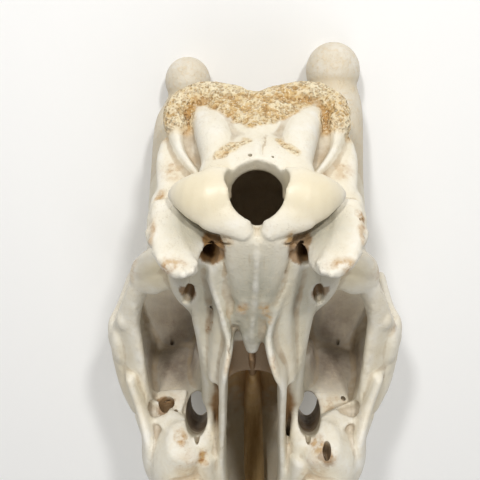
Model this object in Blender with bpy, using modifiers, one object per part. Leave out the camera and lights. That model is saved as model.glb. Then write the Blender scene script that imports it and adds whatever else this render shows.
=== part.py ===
"""Giraffe skull, life size, without its lower jaw. It lies upside down, on its horns and brow.

Every bone starts as a loft: a rounded section carried along a path through a few stations. A station is
(w, a, h, half across, half up, half down) in millimetres, in a skull that is the right way up: w out from
the middle, a forward from the back of the skull, h up from the middle of the foramen magnum. The lofts are
fused, smoothed, hollowed, and parted along the seams between the bones.
"""

import math

import bmesh
import bpy
import numpy as np
from mathutils import Matrix, Vector

MM = 0.001

# Driving dimensions, in millimetres.
LEFT_HORN = (19.5, 27.5, 58.5, 65, 190)
RIGHT_HORN = (23, 25, 63.5, 54, 189)
SEAM = 0.3
SWAY = 3.9

# How it lies: tipped about the side axis and rolled about the long one, in degrees, and where the middle
# of the foramen magnum then is above the middle of the foot of its box, in millimetres.
PITCH, ROLL = 17.87, 0.15
REST_X, REST_Y, REST_Z = 1.67, 297.6, 220.11

# Colours and roughness of the bones.
COLOURS = {
    "bone": ((0.80, 0.75, 0.64), 0.62),
    "ossicone": ((0.78, 0.72, 0.60), 0.72),
    "occipital": ((0.80, 0.73, 0.58), 0.6),
    "maxilla": ((0.78, 0.71, 0.58), 0.6),
    "vomer": ((0.46, 0.36, 0.25), 0.8),
}

# How fine the solids are: the size of a voxel, and the share of faces that are kept.
VOXEL = 2.6
KEEP = 0.0255


def smooth_rows(rows, count):
    """Rows of numbers carried through a Catmull-Rom curve, with count rows evenly spaced along it."""
    rows = np.asarray(rows, float)
    steps = np.linalg.norm(np.diff(rows[:, :3], axis=0), axis=1)
    along = np.concatenate([[0], np.cumsum(steps)])
    spot = np.interp(np.linspace(0, along[-1], count), along, np.arange(len(rows)))
    first = np.minimum(spot.astype(int), len(rows) - 2)
    t = (spot - first)[:, None]
    ends = np.vstack([2 * rows[0] - rows[1], rows, 2 * rows[-1] - rows[-2]])
    p0, p1, p2, p3 = (ends[first + k] for k in range(4))
    return 0.5 * (
        2 * p1
        + (p2 - p0) * t
        + (2 * p0 - 5 * p1 + 4 * p2 - p3) * t**2
        + (3 * p1 - p0 - 3 * p2 + p3) * t**3
    )


def skin(rings):
    """Points and faces of a closed surface over a stack of rings, with a fan on each end."""
    count, around = rings.shape[:2]
    points = np.vstack([rings.reshape(-1, 3), rings[0].mean(0), rings[-1].mean(0)])
    row, column = np.meshgrid(np.arange(count - 1) * around, np.arange(around), indexing="ij")
    after = (column + 1) % around
    sides = np.stack([row + column, row + after, row + around + after, row + around + column], -1)
    faces = sides.reshape(-1, 4).tolist()
    last = (count - 1) * around
    for k in range(around):
        faces.append([count * around, (k + 1) % around, k])
        faces.append([count * around + 1, last + k, last + (k + 1) % around])
    return points, faces


def loft(stations, square=2.0, side=None, cap=6.0, around=24, step=5):
    """A section carried along the stations, as points and faces.

    The section is a superellipse of exponent square. Its width lies along side, or level and square to
    the path where side is left out. A dome of height cap, at most, rounds each end off. Step is the
    distance along the path from one ring of points to the next.
    """
    stations = np.asarray([s if len(s) == 6 else (*s, s[-1]) for s in stations], float)
    length = np.linalg.norm(np.diff(stations[:, :3], axis=0), axis=1).sum()
    rows = smooth_rows(stations, int(np.clip(length / step, 7, 60)))
    centre = rows[:, :3]
    half = np.maximum(rows[:, 3:], 0.4)
    tangent = np.gradient(centre, axis=0)
    tangent /= np.linalg.norm(tangent, axis=1)[:, None]
    if side is None:
        across = np.cross(tangent, (0, 0, 1.0))
    else:
        across = np.asarray(side, float) - (tangent @ np.asarray(side, float))[:, None] * tangent
    across /= np.linalg.norm(across, axis=1)[:, None]
    up = np.cross(across, tangent)
    up *= np.where(up[:, 2:] < 0, -1, 1) if abs(up[:, 2]).min() > 0.2 else 1
    for end, way in ((0, -1), (-1, 1)):
        depth = min(cap, 0.9 * half[end].min())
        turn = np.radians([30, 60, 80])
        extra = centre[end] + way * depth * np.sin(turn)[:, None] * tangent[end]
        shrunk = half[end] * np.cos(turn)[:, None] ** 0.7
        order = slice(None, None, way)
        parts = [(extra[order], centre), (shrunk[order], half)]
        parts += [(np.repeat(across[end][None], 3, 0), across), (np.repeat(up[end][None], 3, 0), up)]
        centre, half, across, up = (np.vstack(p if way < 0 else p[::-1]) for p in parts)
    angle = np.linspace(0, 2 * math.pi, around, endpoint=False)
    c = np.sign(np.cos(angle)) * abs(np.cos(angle)) ** (2 / square)
    s = np.sign(np.sin(angle)) * abs(np.sin(angle)) ** (2 / square)
    rise = np.where(s > 0, half[:, 1:2] * s, half[:, 2:3] * s)
    rings = centre[:, None] + across[:, None] * (half[:, :1] * c)[..., None] + up[:, None] * rise[..., None]
    return skin(rings)


def blob(centre, radii, turn=(0, 0, 0)):
    """An ellipsoid, turned about the w, a and h axes by degrees, as points and faces."""
    polar = np.linspace(0, math.pi, 13)[1:-1, None]
    angle = np.linspace(0, 2 * math.pi, 20, endpoint=False)
    ball = np.stack(
        [np.sin(polar) * np.cos(angle), np.sin(polar) * np.sin(angle), np.cos(polar) + 0 * angle], -1
    )
    spin = Matrix.Identity(3)
    for axis, degrees in zip("XYZ", turn):
        spin = Matrix.Rotation(math.radians(degrees), 3, axis) @ spin
    return skin((ball * radii) @ np.array(spin).T + np.asarray(centre, float))


def ring(centre, normal, radii, half, around=48):
    """A closed ring of oval outline about a normal; half is its half thickness out and along the normal."""
    normal = np.asarray(normal, float) / np.linalg.norm(normal)
    level = np.cross((0, 0, 1.0), normal)
    level /= np.linalg.norm(level)
    upright = np.cross(normal, level)
    turn = np.linspace(0, 2 * math.pi, around + 1)[:, None]
    out = np.cos(turn) * level + np.sin(turn) * upright
    path = np.asarray(centre, float) + radii[0] * np.cos(turn) * level + radii[1] * np.sin(turn) * upright
    angle = np.linspace(0, 2 * math.pi, 16, endpoint=False)
    rings = (
        path[:, None]
        + out[:, None] * (half[0] * np.cos(angle))[:, None]
        + normal * (half[1] * np.sin(angle))[:, None]
    )
    return skin(rings)


def both(*shapes):
    """Each shape and its mirror image."""
    return [*shapes, *((points * (-1, 1, 1), faces) for points, faces in shapes)]


OUT = (1, 0, 0)


def braincase():
    """The long box of the braincase, its roof with the brow plate, and the bump over the brow."""
    box = loft(
        [
            (0, 52, 62, 58, 46, 44), (0, 60, 60, 58, 49, 48), (0, 70, 58, 56, 51, 50),
            (0, 100, 60, 51, 51, 50), (0, 140, 66, 52, 51, 50), (0, 180, 72, 54, 50, 46),
            (0, 215, 78, 52, 46, 42), (0, 255, 80, 50, 44, 42), (0, 300, 74, 50, 42, 40),
        ],
        square=2.7,
    )
    plate = loft(
        [
            (0, 84, 96, 52, 14, 18), (0, 115, 100, 70, 17, 16), (0, 155, 102, 89, 19, 14),
            (0, 198, 101, 100, 22, 13), (0, 230, 100, 110, 26, 12), (0, 264, 98, 117, 28, 12),
            (0, 292, 91, 108, 32, 16), (0, 326, 80, 78, 26, 20),
        ],
        square=2.6,
    )
    bump = blob((0, 288, 108), (42, 46, 30), (-18, 0, 0))
    floor = loft(
        [
            (0, 120, 18, 44, 24, 18), (0, 170, 24, 44, 30, 20), (0, 215, 30, 40, 40, 26),
            (0, 262, 34, 40, 40, 34), (0, 300, 30, 46, 50, 40),
        ],
        square=2.4,
    )
    return [box, plate, bump, floor]


def occiput():
    """The back plate of the skull, its crest and side ridges, and the swelling over the foramen magnum."""
    back = loft(
        [
            (0, 45, 115, 55, 15), (0, 47, 99, 61, 14), (0, 49, 84, 60, 14), (0, 51, 68, 53, 14),
            (0, 52, 54, 46, 14), (0, 53, 40, 42, 14), (0, 55, 26, 41, 14), (0, 58, 8, 44, 12),
        ],
        side=OUT, square=3.2,
    )
    crest = loft(
        [
            (-61, 36, 88, 8, 8), (-61, 34, 106, 11, 9), (-47, 32, 121, 11, 11), (-24, 32, 120, 11, 12),
            (0, 33, 112.5, 10, 11), (24, 32, 120, 11, 12), (47, 32, 121, 11, 11), (61, 34, 106, 11, 9),
            (61, 36, 88, 8, 8),
        ],
        side=(0, 1, 0),
    )
    tip = loft([(0, 36, 112, 50, 13), (0, 37, 96, 50, 14), (0, 36, 84, 34, 14), (0, 34, 70, 20, 14), (0, 33, 58, 10, 14)], side=OUT)
    edge = loft(
        [
            (60, 39, 96, 9, 10), (60, 42, 86, 7, 10), (57.5, 45, 70, 4.5, 10), (49.5, 47, 53, 4, 10),
            (42.5, 48, 40, 4, 10),
            (41, 50, 22, 6, 10),
        ],
        side=OUT,
    )
    pad = loft(
        [
            (38, 39, 108, 14, 10), (35.5, 36, 94, 13.5, 11), (32.5, 33, 79, 13.5, 12), (29.5, 31.5, 63, 13.5, 13),
            (27, 31, 47, 13, 13), (26, 33, 33, 13, 13), (28, 40, 20, 13, 13),
        ],
        side=OUT, square=2.3,
    )
    swelling = loft(
        [(0, 36, 66, 22, 13), (0, 32, 50, 34, 14), (0, 29, 34, 40, 14), (0, 30, 20, 41, 12)], side=OUT
    )
    middle = loft([(0, 24, 62, 2.5, 3), (0, 19, 46, 2.5, 3), (0, 16, 32, 2.5, 3)], side=OUT)
    mastoid = loft(
        [
            (60, 68, 86, 12, 14), (62, 69, 60, 13, 15), (63, 70, 38, 12.5, 16), (62, 72, 14, 12.5, 16),
            (58, 72, -6, 12, 12),
        ],
        side=OUT,
    )
    brink = loft([(71, 58, 32, 5, 8), (71.5, 57, 12, 5.5, 8), (70, 58, -8, 6, 7)], side=OUT)
    web = loft([(52, 64, 30, 16, 14), (54, 62, 4, 15, 12), (51, 60, -17, 11, 9)], side=OUT)
    flat = loft(
        [
            (65, 51, 84, 8, 8), (63.5, 50, 66, 11, 8), (59.5, 51, 52, 14, 8), (57, 52, 38, 15, 8),
            (58, 55, 20, 13, 8),
        ],
        side=OUT, square=2.6,
    )
    sheet = loft(
        [
            (46, 57, 14, 13, 7), (45.5, 56, -2, 13, 6), (44, 55.5, -16, 12, 5.5), (43, 56, -28, 9.5, 5),
            (45, 55, -38, 6, 4.5),
        ],
        side=(0.87, -0.5, 0),
    )
    return [back, crest, tip, swelling, middle, *both(edge, pad, flat, mastoid, brink, web, sheet)]


def base():
    """The bone under the brain, from the foramen magnum to the back of the nose."""
    keel = loft(
        [
            (0, 48, -4, 26, 16, 17), (0, 75, -5, 23, 14, 16), (0, 103, -6, 18, 16, 16),
            (0, 127, -7, 13.5, 18, 15), (0, 150, -8, 9, 18, 14), (0, 167, -9, 5.5, 16, 12),
        ],
        square=3.2,
    )
    ridge = loft([(0, 58, -18, 3.5, 5), (0, 105, -19, 3.5, 5), (0, 150, -19, 3, 4.5)])
    lump = blob((11, 124, -19), (5, 12, 3.6))
    ear = loft(
        [(42, 60, 6, 24, 22), (44, 90, 9, 22, 18), (43, 120, 12, 20, 18), (40, 142, 16, 12, 18)], square=2.5
    )
    flank = loft(
        [
            (38, 118, 12, 12, 20, 17), (37, 145, 10, 11, 25, 19), (35, 180, 8, 9, 27, 22),
            (34, 220, 6, 8.5, 28, 21), (35, 262, 6, 9, 30, 22), (39, 300, 2, 12, 30, 22),
        ],
        side=OUT, square=2.5,
    )
    saddle = loft(
        [
            (26, 74, 0, 10, 8, 14), (24, 100, 0, 10, 8, 15), (21, 125, 0, 10, 8, 18),
            (22, 150, -2, 11, 8, 20), (26, 176, -4, 9, 8, 20), (30, 200, -6, 6, 8, 20),
        ],
        side=OUT, square=2.4,
    )
    return [keel, ridge, *both(lump, ear, flank, saddle)]


def cheek():
    """The bar of the cheek, from the jaw joint round under the eye to the side of the face."""
    root = loft(
        [(44, 112, 23, 28, 12), (62, 113, 19, 26, 9.5), (75, 118, 18, 20, 8.5), (83, 130, 19, 14, 8.5)],
        side=(0, 1, 0), square=2.6,
    )
    bar = loft(
        [
            (80, 119, 22, 9, 10), (90, 140, 20, 8, 9), (99, 168, 19, 10, 7.5), (103, 196, 19, 16, 6.5),
            (104.5, 225, 17, 18.5, 6.5), (102.5, 252, 11, 17, 8), (96, 272, 3, 13, 9),
        ],
        side=(0.8, 0, 0.6), square=2.3,
    )
    plate = loft(
        [
            (103, 232, 6, 5, 10), (96, 258, 1, 6, 16), (88.5, 284, -10, 8, 28), (87.5, 308, -22, 9, 24),
            (80, 334, -26, 8, 17),
        ],
        side=OUT,
    )
    behind_eye = loft(
        [
            (110, 214, 96, 5, 13), (112.5, 214, 78, 5, 11), (114.5, 212, 58, 5.5, 11),
            (117.5, 210, 38, 6, 14), (110, 208, 18, 8, 20),
        ],
        side=OUT, square=2.4,
    )
    under_eye = loft(
        [
            (115, 214, 27, 5, 15, 12), (113, 236, 20, 5, 17, 10), (104, 262, 13, 6, 20, 9),
            (92, 286, 4, 8, 28, 20),
        ],
        side=(0.9, 0, -0.4),
    )
    before_eye = loft(
        [
            (101, 286, 97, 9, 17), (102, 288, 80, 10, 18), (102, 287, 56, 9, 15), (100, 284, 34, 9, 16),
            (94, 282, 8, 9, 20),
        ],
        side=OUT,
    )
    rim = ring((108, 247, 61), (0.995, 0.05, -0.08), (35, 34), (6, 7))
    knob = blob((104, 173, 17), (6, 10, 7))
    return both(root, bar, plate, behind_eye, under_eye, before_eye, rim, knob)


def face():
    """The muzzle: its arched roof, its sides, the wall before the eye, the tooth sockets and the palate."""
    tube = loft(
        [
            (0, 272, 74, 54, 48, 60), (0, 300, 58, 60, 58, 60), (0, 340, 40, 58, 56, 62),
            (0, 390, 20, 50, 54, 62), (0, 430, 7, 43, 51, 58), (0, 458, -2, 39.5, 47, 54),
        ],
        square=2.5, cap=1,
    )
    roof = loft(
        [
            (18, 440, 43, 18, 8, 5), (17, 465, 33, 17, 8, 4.5), (14.5, 486, 25, 12, 6.5, 4),
            (12, 500, 20, 6, 4.5, 3), (11, 509, 17, 3, 3, 2.5),
        ],
        cap=2,
    )
    side = loft(
        [
            (39, 446, -11, 4, 43, 45), (36, 480, -22, 3.6, 38, 34), (32, 512, -35, 3.6, 29, 22),
            (28, 542, -45, 3.6, 17, 12), (24, 566, -52, 3.6, 8, 6),
        ],
        side=OUT, cap=3,
    )
    socket = loft(
        [
            (56, 268, -36, 17, 20, 18), (64, 296, -30, 25, 36, 28), (60, 340, -30, 25, 36, 30),
            (51, 390, -32, 19, 30, 28), (43, 430, -36, 12, 26, 24), (36, 480, -42, 8, 18, 15),
            (32, 515, -47, 6, 12, 10), (28, 550, -54, 4, 6, 6), (25, 580, -57, 3, 3, 3),
        ],
        square=2.6,
    )
    cheek_side = loft(
        [
            (62, 312, -4, 22, 40, 30), (55, 350, -8, 19, 36, 28), (47, 400, -12, 14, 30, 26),
            (41, 450, -18, 8, 26, 24),
        ]
    )
    inner = loft([
        (40, 282, -34, 9, 18, 18), (42, 310, -38, 14, 16, 18), (44, 340, -44, 14, 14, 14),
    ], square=2.4)
    wall = loft(
        [
            (79, 287, 34, 31, 58, 48), (74, 306, 32, 29, 56, 58), (63, 332, 22, 23, 50, 50),
            (55, 362, 8, 12, 40, 38),
        ],
        square=2.4,
    )
    crest = loft([
        (88, 290, -26, 4, 9), (87, 310, -40, 4, 7), (80, 342, -40, 4, 6), (66, 374, -38, 4, 5),
    ], side=OUT)
    palate = loft([
        (0, 330, -42, 50, 6), (0, 400, -44, 44, 6), (0, 460, -49, 34, 5), (0, 515, -54, 27, 4),
        (0, 545, -56, 17, 3.5),
    ])
    bulla = loft(
        [(92, 284, 4, 13, 11), (81, 280, -5, 15, 13), (68, 280, -12, 14, 13), (56, 284, -18, 12, 11)],
        side=(0, 1, 0),
    )
    return [tube, palate, *both(roof, side, cheek_side, socket, inner, wall, crest, bulla)]


def snout():
    """The two long rods of the front of the upper jaw, spreading flat at their tips."""
    rod = loft(
        [
            (35, 440, 22, 4, 8), (33, 470, 7, 4.5, 8), (30, 505, -13, 5, 8), (26, 545, -36, 7, 8),
            (22, 590, -52, 9, 5.5), (19, 620, -59, 11.5, 4.5), (17, 634, -61, 11.5, 4),
        ],
        cap=4,
    )
    shelf = loft([(20, 520, -56, 10, 3.5), (17, 560, -57, 6, 3.5), (15, 596, -59, 4, 3.5)], cap=3)
    return both(rod, shelf)


def horn(knob, thick, side, forward, height):
    """One ossicone: a broad root, a leaning shaft of half width thick, and a round knob at a centre."""
    lean = np.array([0, 0.707, -0.707])
    top = np.array([side, forward, height])
    neck, shaft = top + 15 * lean, top + 36 * lean
    return [
        loft(
            [
                (59, 162, 110, 26, 20, 8), (61, 146, 115, 31, 29, 26), (62, 122, 132, 28, 28, 28),
                (*shaft, thick, 25.5, 25.5), (*neck, knob * 0.9, knob * 0.9, knob * 0.9),
            ],
            side=OUT,
        ),
        blob(top, (knob, knob + 1, knob + 1)),
    ]


def wings():
    """The thin wing plates that hang on both sides of the back of the nose.

    A row has the distance out of the left plate and of the right one, and then the rest of a station.
    """
    rows = [
        (31.3, 25, 82, -6, 3.2, 10, 8), (31.4, 22.5, 95, -6, 3.2, 12, 10),
        (27.8, 19.5, 108, -8, 3.4, 14, 11), (23.7, 16.5, 120, -10, 3.6, 16, 12),
        (20.5, 13, 134, -12, 3.6, 18, 14), (17.5, 12, 146, -14, 3.6, 20, 17),
        (17.3, 13.5, 156, -18, 3.6, 22, 21), (20, 17.5, 166, -20, 3.6, 24, 26),
        (22, 23, 182, -20, 3.6, 26, 26), (23, 23.5, 215, -20, 3.6, 27, 25),
        (25, 24, 262, -20, 3.6, 30, 25), (27, 26, 300, -26, 4.4, 26, 21), (28, 28, 336, -36, 7, 16, 16),
    ]
    return [
        loft([(left, *row) for left, _, *row in rows], side=OUT, square=2.6),
        loft([(-right, *row) for _, right, *row in rows], side=OUT, square=2.6),
    ]


def vomer():
    """The keel along the roof of the nose, which widens forwards from a thin blade under the brain."""
    return [
        loft(
            [
                (0, 196, 0, 2.6, 5, 5), (0, 225, 14, 3.4, 8, 8), (0, 262, 34, 5, 18, 11),
                (0, 300, 49, 7, 22, 10), (0, 340, 56, 8.5, 26, 10), (0, 385, 44, 9.5, 14, 10),
                (0, 430, 28, 10, 16, 9), (0, 480, 10, 9, 14, 8), (0, 530, -14, 6, 6, 6),
            ],
            side=OUT, square=2.4, cap=1.5, around=14, step=14,
        )
    ]


def ear_processes():
    """The broad plate that hangs down behind each ear."""
    return both(
        loft(
            [
                (62, 52, 18, 12, 9), (62, 52, 0, 11.5, 8), (60, 52, -14, 12, 7), (56, 52, -28, 12, 6),
                (51, 52, -38, 10.5, 5.5), (51, 52, -44, 6, 5),
            ],
            side=OUT, square=3.2, cap=3,
        )
    )


def condyles():
    """The two smooth rollers beside the foramen magnum, each with a lobe that runs in under it."""
    upper = loft(
        [
            (59, 36, 14, 3.5, 4), (54, 33, 11, 8, 8.5), (45, 29.5, 6.5, 12, 15), (35, 28.5, 3, 14, 19.3),
            (27, 27.5, 4, 14, 20), (15, 28.5, 4.5, 13, 18.5),
        ],
        side=(0, 0.75, 0.66), cap=1.5, around=32,
    )
    lower = loft(
        [
            (29, 31.5, -2, 11, 17), (22, 34, -6, 10.5, 16), (16, 37, -10, 9, 13),
            (11, 40, -14, 7, 9.5), (7, 43, -17.5, 4, 6),
        ],
        side=(0, 0.75, 0.66), cap=3, around=32,
    )
    return both(upper, lower)


def teeth():
    """Six cheek teeth a side, three large behind and three small in front, each with paired cusps."""
    shapes = []
    a = 291
    for length, wide, lobes in [
        (28, 13, 2), (29, 14, 2), (27, 13, 2), (22, 11.5, 1), (22, 11, 1), (20, 10, 1),
    ]:
        for lobe in range(lobes):
            spot = a + length * (lobe + 0.5) / lobes
            w = np.interp(spot, [291, 360, 440], [58, 52, 40])
            half = length / lobes / 2
            shapes += [
                loft(
                    [
                        (w + out * wide * 0.5, spot, -50, wide * 0.6, half * 1.04),
                        (w + out * wide * 0.5, spot, -72, wide * 0.56, half),
                        (w + out * wide * 0.46, spot, -79, wide * 0.25, half * 0.5),
                    ],
                    side=OUT, square=2.6, cap=2, around=12,
                )
                for out in (-1, 1)
            ]
        a += length
    return both(*shapes)


def hollows():
    """The spaces that are cut out: nose, brain, ears, eye sockets and the slots through the face."""
    nose = loft(
        [
            (0, 520, -14, 24, 28, 32), (0, 470, -6, 29, 34, 40), (0, 420, 10, 35, 38, 50),
            (0, 370, 26, 40, 40, 64), (0, 325, 34, 38, 40, 66), (0, 285, 24, 32, 30, 62),
            (0, 240, -8, 23, 22, 46), (0, 204, -23, 19, 13, 33), (0, 180, -42, 11, 12, 18),
        ],
        square=2.6,
    )
    throat = loft([(0, 300, -62, 22, 30), (0, 262, -56, 22, 30), (0, 215, -50, 21, 26)], square=2.6)
    brain = loft(
        [
            (0, 39, 22, 21, 15, 20), (0, 49, 28, 26, 20, 26), (0, 60, 33, 32, 27, 30), (0, 72, 36, 34, 30, 33),
            (0, 120, 46, 38, 34), (0, 165, 54, 30, 26),
        ],
        side=OUT,
    )
    entry = loft(
        [(0, 0, -14, 18, 14, 18), (0, 22, 0.5, 19, 15, 18.5), (0, 42, 12, 18, 13, 18), (0, 56, 20, 18, 13, 18)],
        side=OUT,
    )
    bevel = loft(
        [(0, 2, 3, 22, 21, 14), (0, 15, 7, 22, 20.4, 16), (0, 28, 9, 20, 21.5, 18), (0, 36, 11, 20, 21, 18)],
        side=OUT, square=1.9, cap=1,
    )
    ear_left = loft(
        [
            (30, 54, -38, 9.5, 8), (31, 60, -25, 9, 9), (32, 67, -13, 7, 10), (34, 73, 0, 4.5, 9),
            (36, 79, 14, 3, 7),
        ],
        side=OUT,
    )
    ear_right = loft(
        [(-29, 55, -40, 4, 10), (-31, 64, -20, 5, 11), (-34, 73, -2, 4.5, 10), (-36, 79, 12, 3, 7)],
        side=(0.9, 0.3, 0.2),
    )
    slot = loft([(51, 100, -34, 4, 12), (48, 118, -4, 4, 12), (47, 121, 3, 3.5, 10)], side=(1, -0.3, 0))
    socket = blob((92, 244, 58), (44, 29, 28))
    window = loft(
        [
            (46, 225, -46, 9, 15), (49, 300, 20, 10.5, 18), (51, 352, 70, 10.5, 18.5),
            (52, 400, 116, 10.5, 18.5),
        ],
        side=OUT,
    )
    pocket = blob((83, 266, -4), (12, 9, 8), (0, 0, -8))
    cleft = loft([(1, 20, -20, 8.5, 4), (1.5, 31, -23, 7, 4.5), (2, 40, -27, 4, 4), (2.3, 46, -30, 2.5, 3)], side=OUT, cap=1)
    return [nose, throat, brain, bevel, entry, cleft, ear_left, ear_right, *both(slot, socket, window, pocket)]


def swayed(points):
    """Points of the skull with its middle set a little to its left, from the ears to the cheek teeth."""
    w, a, h = points.T
    back, front = np.clip((a - 50) / 110, 0, 1), np.clip((600 - a) / 270, 0, 1)
    shift = SWAY * back**2 * (3 - 2 * back) * front**2 * (3 - 2 * front)
    shift *= np.clip((120 - h) / 60, 0, 1) * np.clip(1 - 0.6 * (w / 125) ** 2, 0, 1)
    return points + shift[:, None] * OUT


def wedge(w, outline):
    """A closed prism between two values of w, inside an outline of (a, h) points."""
    count = len(outline)
    points = np.array([(side, a, h) for side in w for a, h in outline], float)
    walls = [[k, (k + 1) % count, count + (k + 1) % count, count + k] for k in range(count)]
    return points, [*walls, list(range(count)), list(range(count, 2 * count))]


def link(name, mesh, group):
    """A new object for a mesh, in a collection."""
    item = bpy.data.objects.new(name, mesh)
    group.objects.link(item)
    return item


def raw(name, shapes, group, grow=0.0):
    """One object made of closed shapes just as they are, each grown outwards by a few tenths of a mm."""
    mesh = bpy.data.meshes.new(name)
    body = bmesh.new()
    for points, faces in shapes:
        spots = [body.verts.new(p) for p in (swayed(points) * (MM, -MM, MM)).tolist()]
        for face in faces:
            body.faces.new([spots[k] for k in face])
    bmesh.ops.recalc_face_normals(body, faces=body.faces)
    body.normal_update()
    for spot in body.verts:
        spot.co += spot.normal * spot.calc_shell_factor() * grow * MM
    body.to_mesh(mesh)
    body.free()
    return link(name, mesh, group)


def fused(name, shapes, voxel, rounds, group):
    """Closed shapes melted into one surface by a voxel remesh, and smoothed."""
    item = raw(name, shapes, group)
    melt(item, voxel, rounds)
    return item


def melt(item, voxel, rounds):
    """A voxel remesh and some rounds of smoothing, as modifiers."""
    blend = item.modifiers.new("blend", "REMESH")
    blend.mode = "VOXEL"
    blend.voxel_size = voxel * MM
    even = item.modifiers.new("even", "SMOOTH")
    even.factor = 0.5
    even.iterations = rounds


def boolean(item, cutter, operation):
    """A Boolean modifier on an object. The other object becomes a cutter, which isn't part of the model."""
    step = item.modifiers.new(operation.lower(), "BOOLEAN")
    step.operation = operation
    step.object = cutter
    cutter.hide_render = True
    cutter.display_type = "WIRE"


def settled(item, name, group):
    """A new object with the evaluated mesh of another, which is removed with its cutters."""
    bpy.context.view_layer.update()
    graph = bpy.context.evaluated_depsgraph_get()
    mesh = bpy.data.meshes.new_from_object(item.evaluated_get(graph))
    for step in item.modifiers:
        if step.type == "BOOLEAN":
            bpy.data.objects.remove(step.object)
    bpy.data.objects.remove(item)
    return link(name, mesh, group)


def largest(mesh):
    """Keeps only the largest closed surface of a mesh, so that no loose chip is left."""
    body = bmesh.new()
    body.from_mesh(mesh)
    bmesh.ops.remove_doubles(body, verts=body.verts, dist=1e-6)
    left = set(body.verts)
    islands = []
    while left:
        queue = [left.pop()]
        island = set(queue)
        while queue:
            for edge in queue.pop().link_edges:
                for spot in edge.verts:
                    if spot not in island:
                        island.add(spot)
                        queue.append(spot)
        left -= island
        islands.append(island)
    keep = max(islands, key=len)
    bmesh.ops.delete(body, geom=[v for v in body.verts if v not in keep], context="VERTS")
    bmesh.ops.triangulate(body, faces=body.faces)
    body.to_mesh(mesh)
    body.free()


def bone(name, colour, roughness):
    """A Principled material for one bone."""
    material = bpy.data.materials.new(name)
    material.use_nodes = True
    shader = material.node_tree.nodes["Principled BSDF"]
    shader.inputs["Base Color"].default_value = (*colour, 1)
    shader.inputs["Roughness"].default_value = roughness
    shader.inputs["Metallic"].default_value = 0
    return material


def skull():
    """The whole skull in one closed surface, without the blade of the nose."""
    left = horn(*LEFT_HORN)
    right = [(points * (-1, 1, 1), faces) for points, faces in horn(*RIGHT_HORN)]
    masses = [
        *braincase(), *occiput(), *base(), *wings(), *cheek(), *face(), *snout(), *ear_processes(),
        *left, *right,
    ]
    whole = fused("masses", masses, VOXEL, 7, work)
    boolean(whole, fused("rollers", condyles(), 2, 4, work), "UNION")
    boolean(whole, fused("spaces", hollows(), VOXEL, 2, work), "DIFFERENCE")
    boolean(whole, fused("grinders", teeth(), 2, 2, work), "UNION")
    melt(whole, VOXEL * 0.8, 1)
    thin = whole.modifiers.new("thin", "DECIMATE")
    thin.ratio = KEEP
    return settled(whole, "skull", work)


def regions():
    """Where one bone ends and the next begins: each bone's name and the shape that parts it off."""
    parts = []
    for side, sign in (("left", 1), ("right", -1)):
        parts += [
            (f"ossicone_{side}", wedge((sign * 16, sign * 110), [
                (38, 119), (16, 165), (30, 240), (215, 240), (215, 125),
            ])),
            (f"premaxilla_{side}", wedge((0, sign * 70), [
                (446, 24), (446, 6), (520, -36), (600, -82), (660, -90), (660, -20), (520, 9),
            ])),
            (f"nasal_{side}", wedge((0, sign * 33), [
                (312, 75), (312, 150), (540, 60), (540, -5), (450, 20),
            ])),
            (f"zygomatic_{side}", wedge((sign * 84, sign * 150), [
                (158, -60), (158, 42), (304, 42), (304, -8), (288, -32), (288, -60),
            ])),
            (f"temporal_{side}", wedge((sign * 47, sign * 150), [
                (66, -70), (54, 60), (80, 80), (158, 80), (158, -70),
            ])),
            (f"maxilla_{side}", wedge((0, sign * 120), [
                (306, 160), (306, -9), (289, -33), (262, -33), (262, -100), (700, -100), (700, 160),
            ])),
        ]
    parts += [
        ("occipital", wedge((-120, 120), [(-10, 150), (43, 150), (67, -60), (64, -90), (-10, -90)])),
        ("sphenoid", wedge((-120, 120), [(50, 30), (50, -90), (330, -90), (330, 24), (120, 12)])),
        ("frontal", wedge((-150, 150), [(176, 0), (152, 150), (330, 150), (330, 0)])),
    ]
    return parts


def parted(whole):
    """Each bone cut out of the skull in turn, with a thin seam left all round it."""
    found = []
    for name, region in [*regions(), ("braincase", None)]:
        piece = link(name, whole.data.copy(), work)
        if region:
            boolean(piece, raw("inside", [region], work), "INTERSECT")
            boolean(whole, raw("outside", [region], work, SEAM), "DIFFERENCE")
            whole = settled(whole, "skull", work)
        found.append(settled(piece, name, bones))
    bpy.data.objects.remove(whole)
    return found


def main():
    """Makes the bones, gives each its material, and lays the whole skull down on its horns and brow."""
    whole = skull()
    blade = raw("vomer", vomer(), bones)
    boolean(whole, raw("vomer_room", vomer(), work, SEAM), "DIFFERENCE")
    whole = settled(whole, "skull", work)
    rest = link("skull_at_rest", None, bones)
    rest.rotation_mode = "YXZ"
    rest.rotation_euler = (math.radians(PITCH), math.radians(180 + ROLL), 0)
    rest.location = Vector((REST_X, REST_Y, REST_Z)) * MM
    for item in [*parted(whole), blade]:
        largest(item.data)
        kind = item.name.split("_")[0]
        colour, roughness = COLOURS.get(kind, COLOURS["bone"])
        item.data.materials.clear()
        item.data.materials.append(bone(item.name, colour, roughness))
        item.data.shade_smooth()
        item.data.set_sharp_from_angle(angle=math.radians(50))
        item.parent = rest


for item in list(bpy.data.objects):
    bpy.data.objects.remove(item)
work = bpy.data.collections.new("cutters")
bones = bpy.data.collections.new("giraffe_skull")
for group in (work, bones):
    bpy.context.scene.collection.children.link(group)
main()
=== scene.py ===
"""A museum model of a giraffe's skull, life size and without its lower jaw. It lies upside down.

Its bones are lofts: a rounded section carried along a path through a few stations. A station is
(w, a, h, half across, half up, half down) in millimetres, in a skull that is the right way up: w out from
the middle, a forward from the back of the skull, h up from the middle of the foramen magnum. The lofts are
fused, hollowed and smoothed, the grain, pits and holes of the bone are pressed into the surface, and it is
parted into bones. Each bone takes the place of the solid of its name.
"""

import math

import bmesh
import bpy
import numpy as np
from mathutils import Matrix, Vector
from mathutils.kdtree import KDTree


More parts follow.
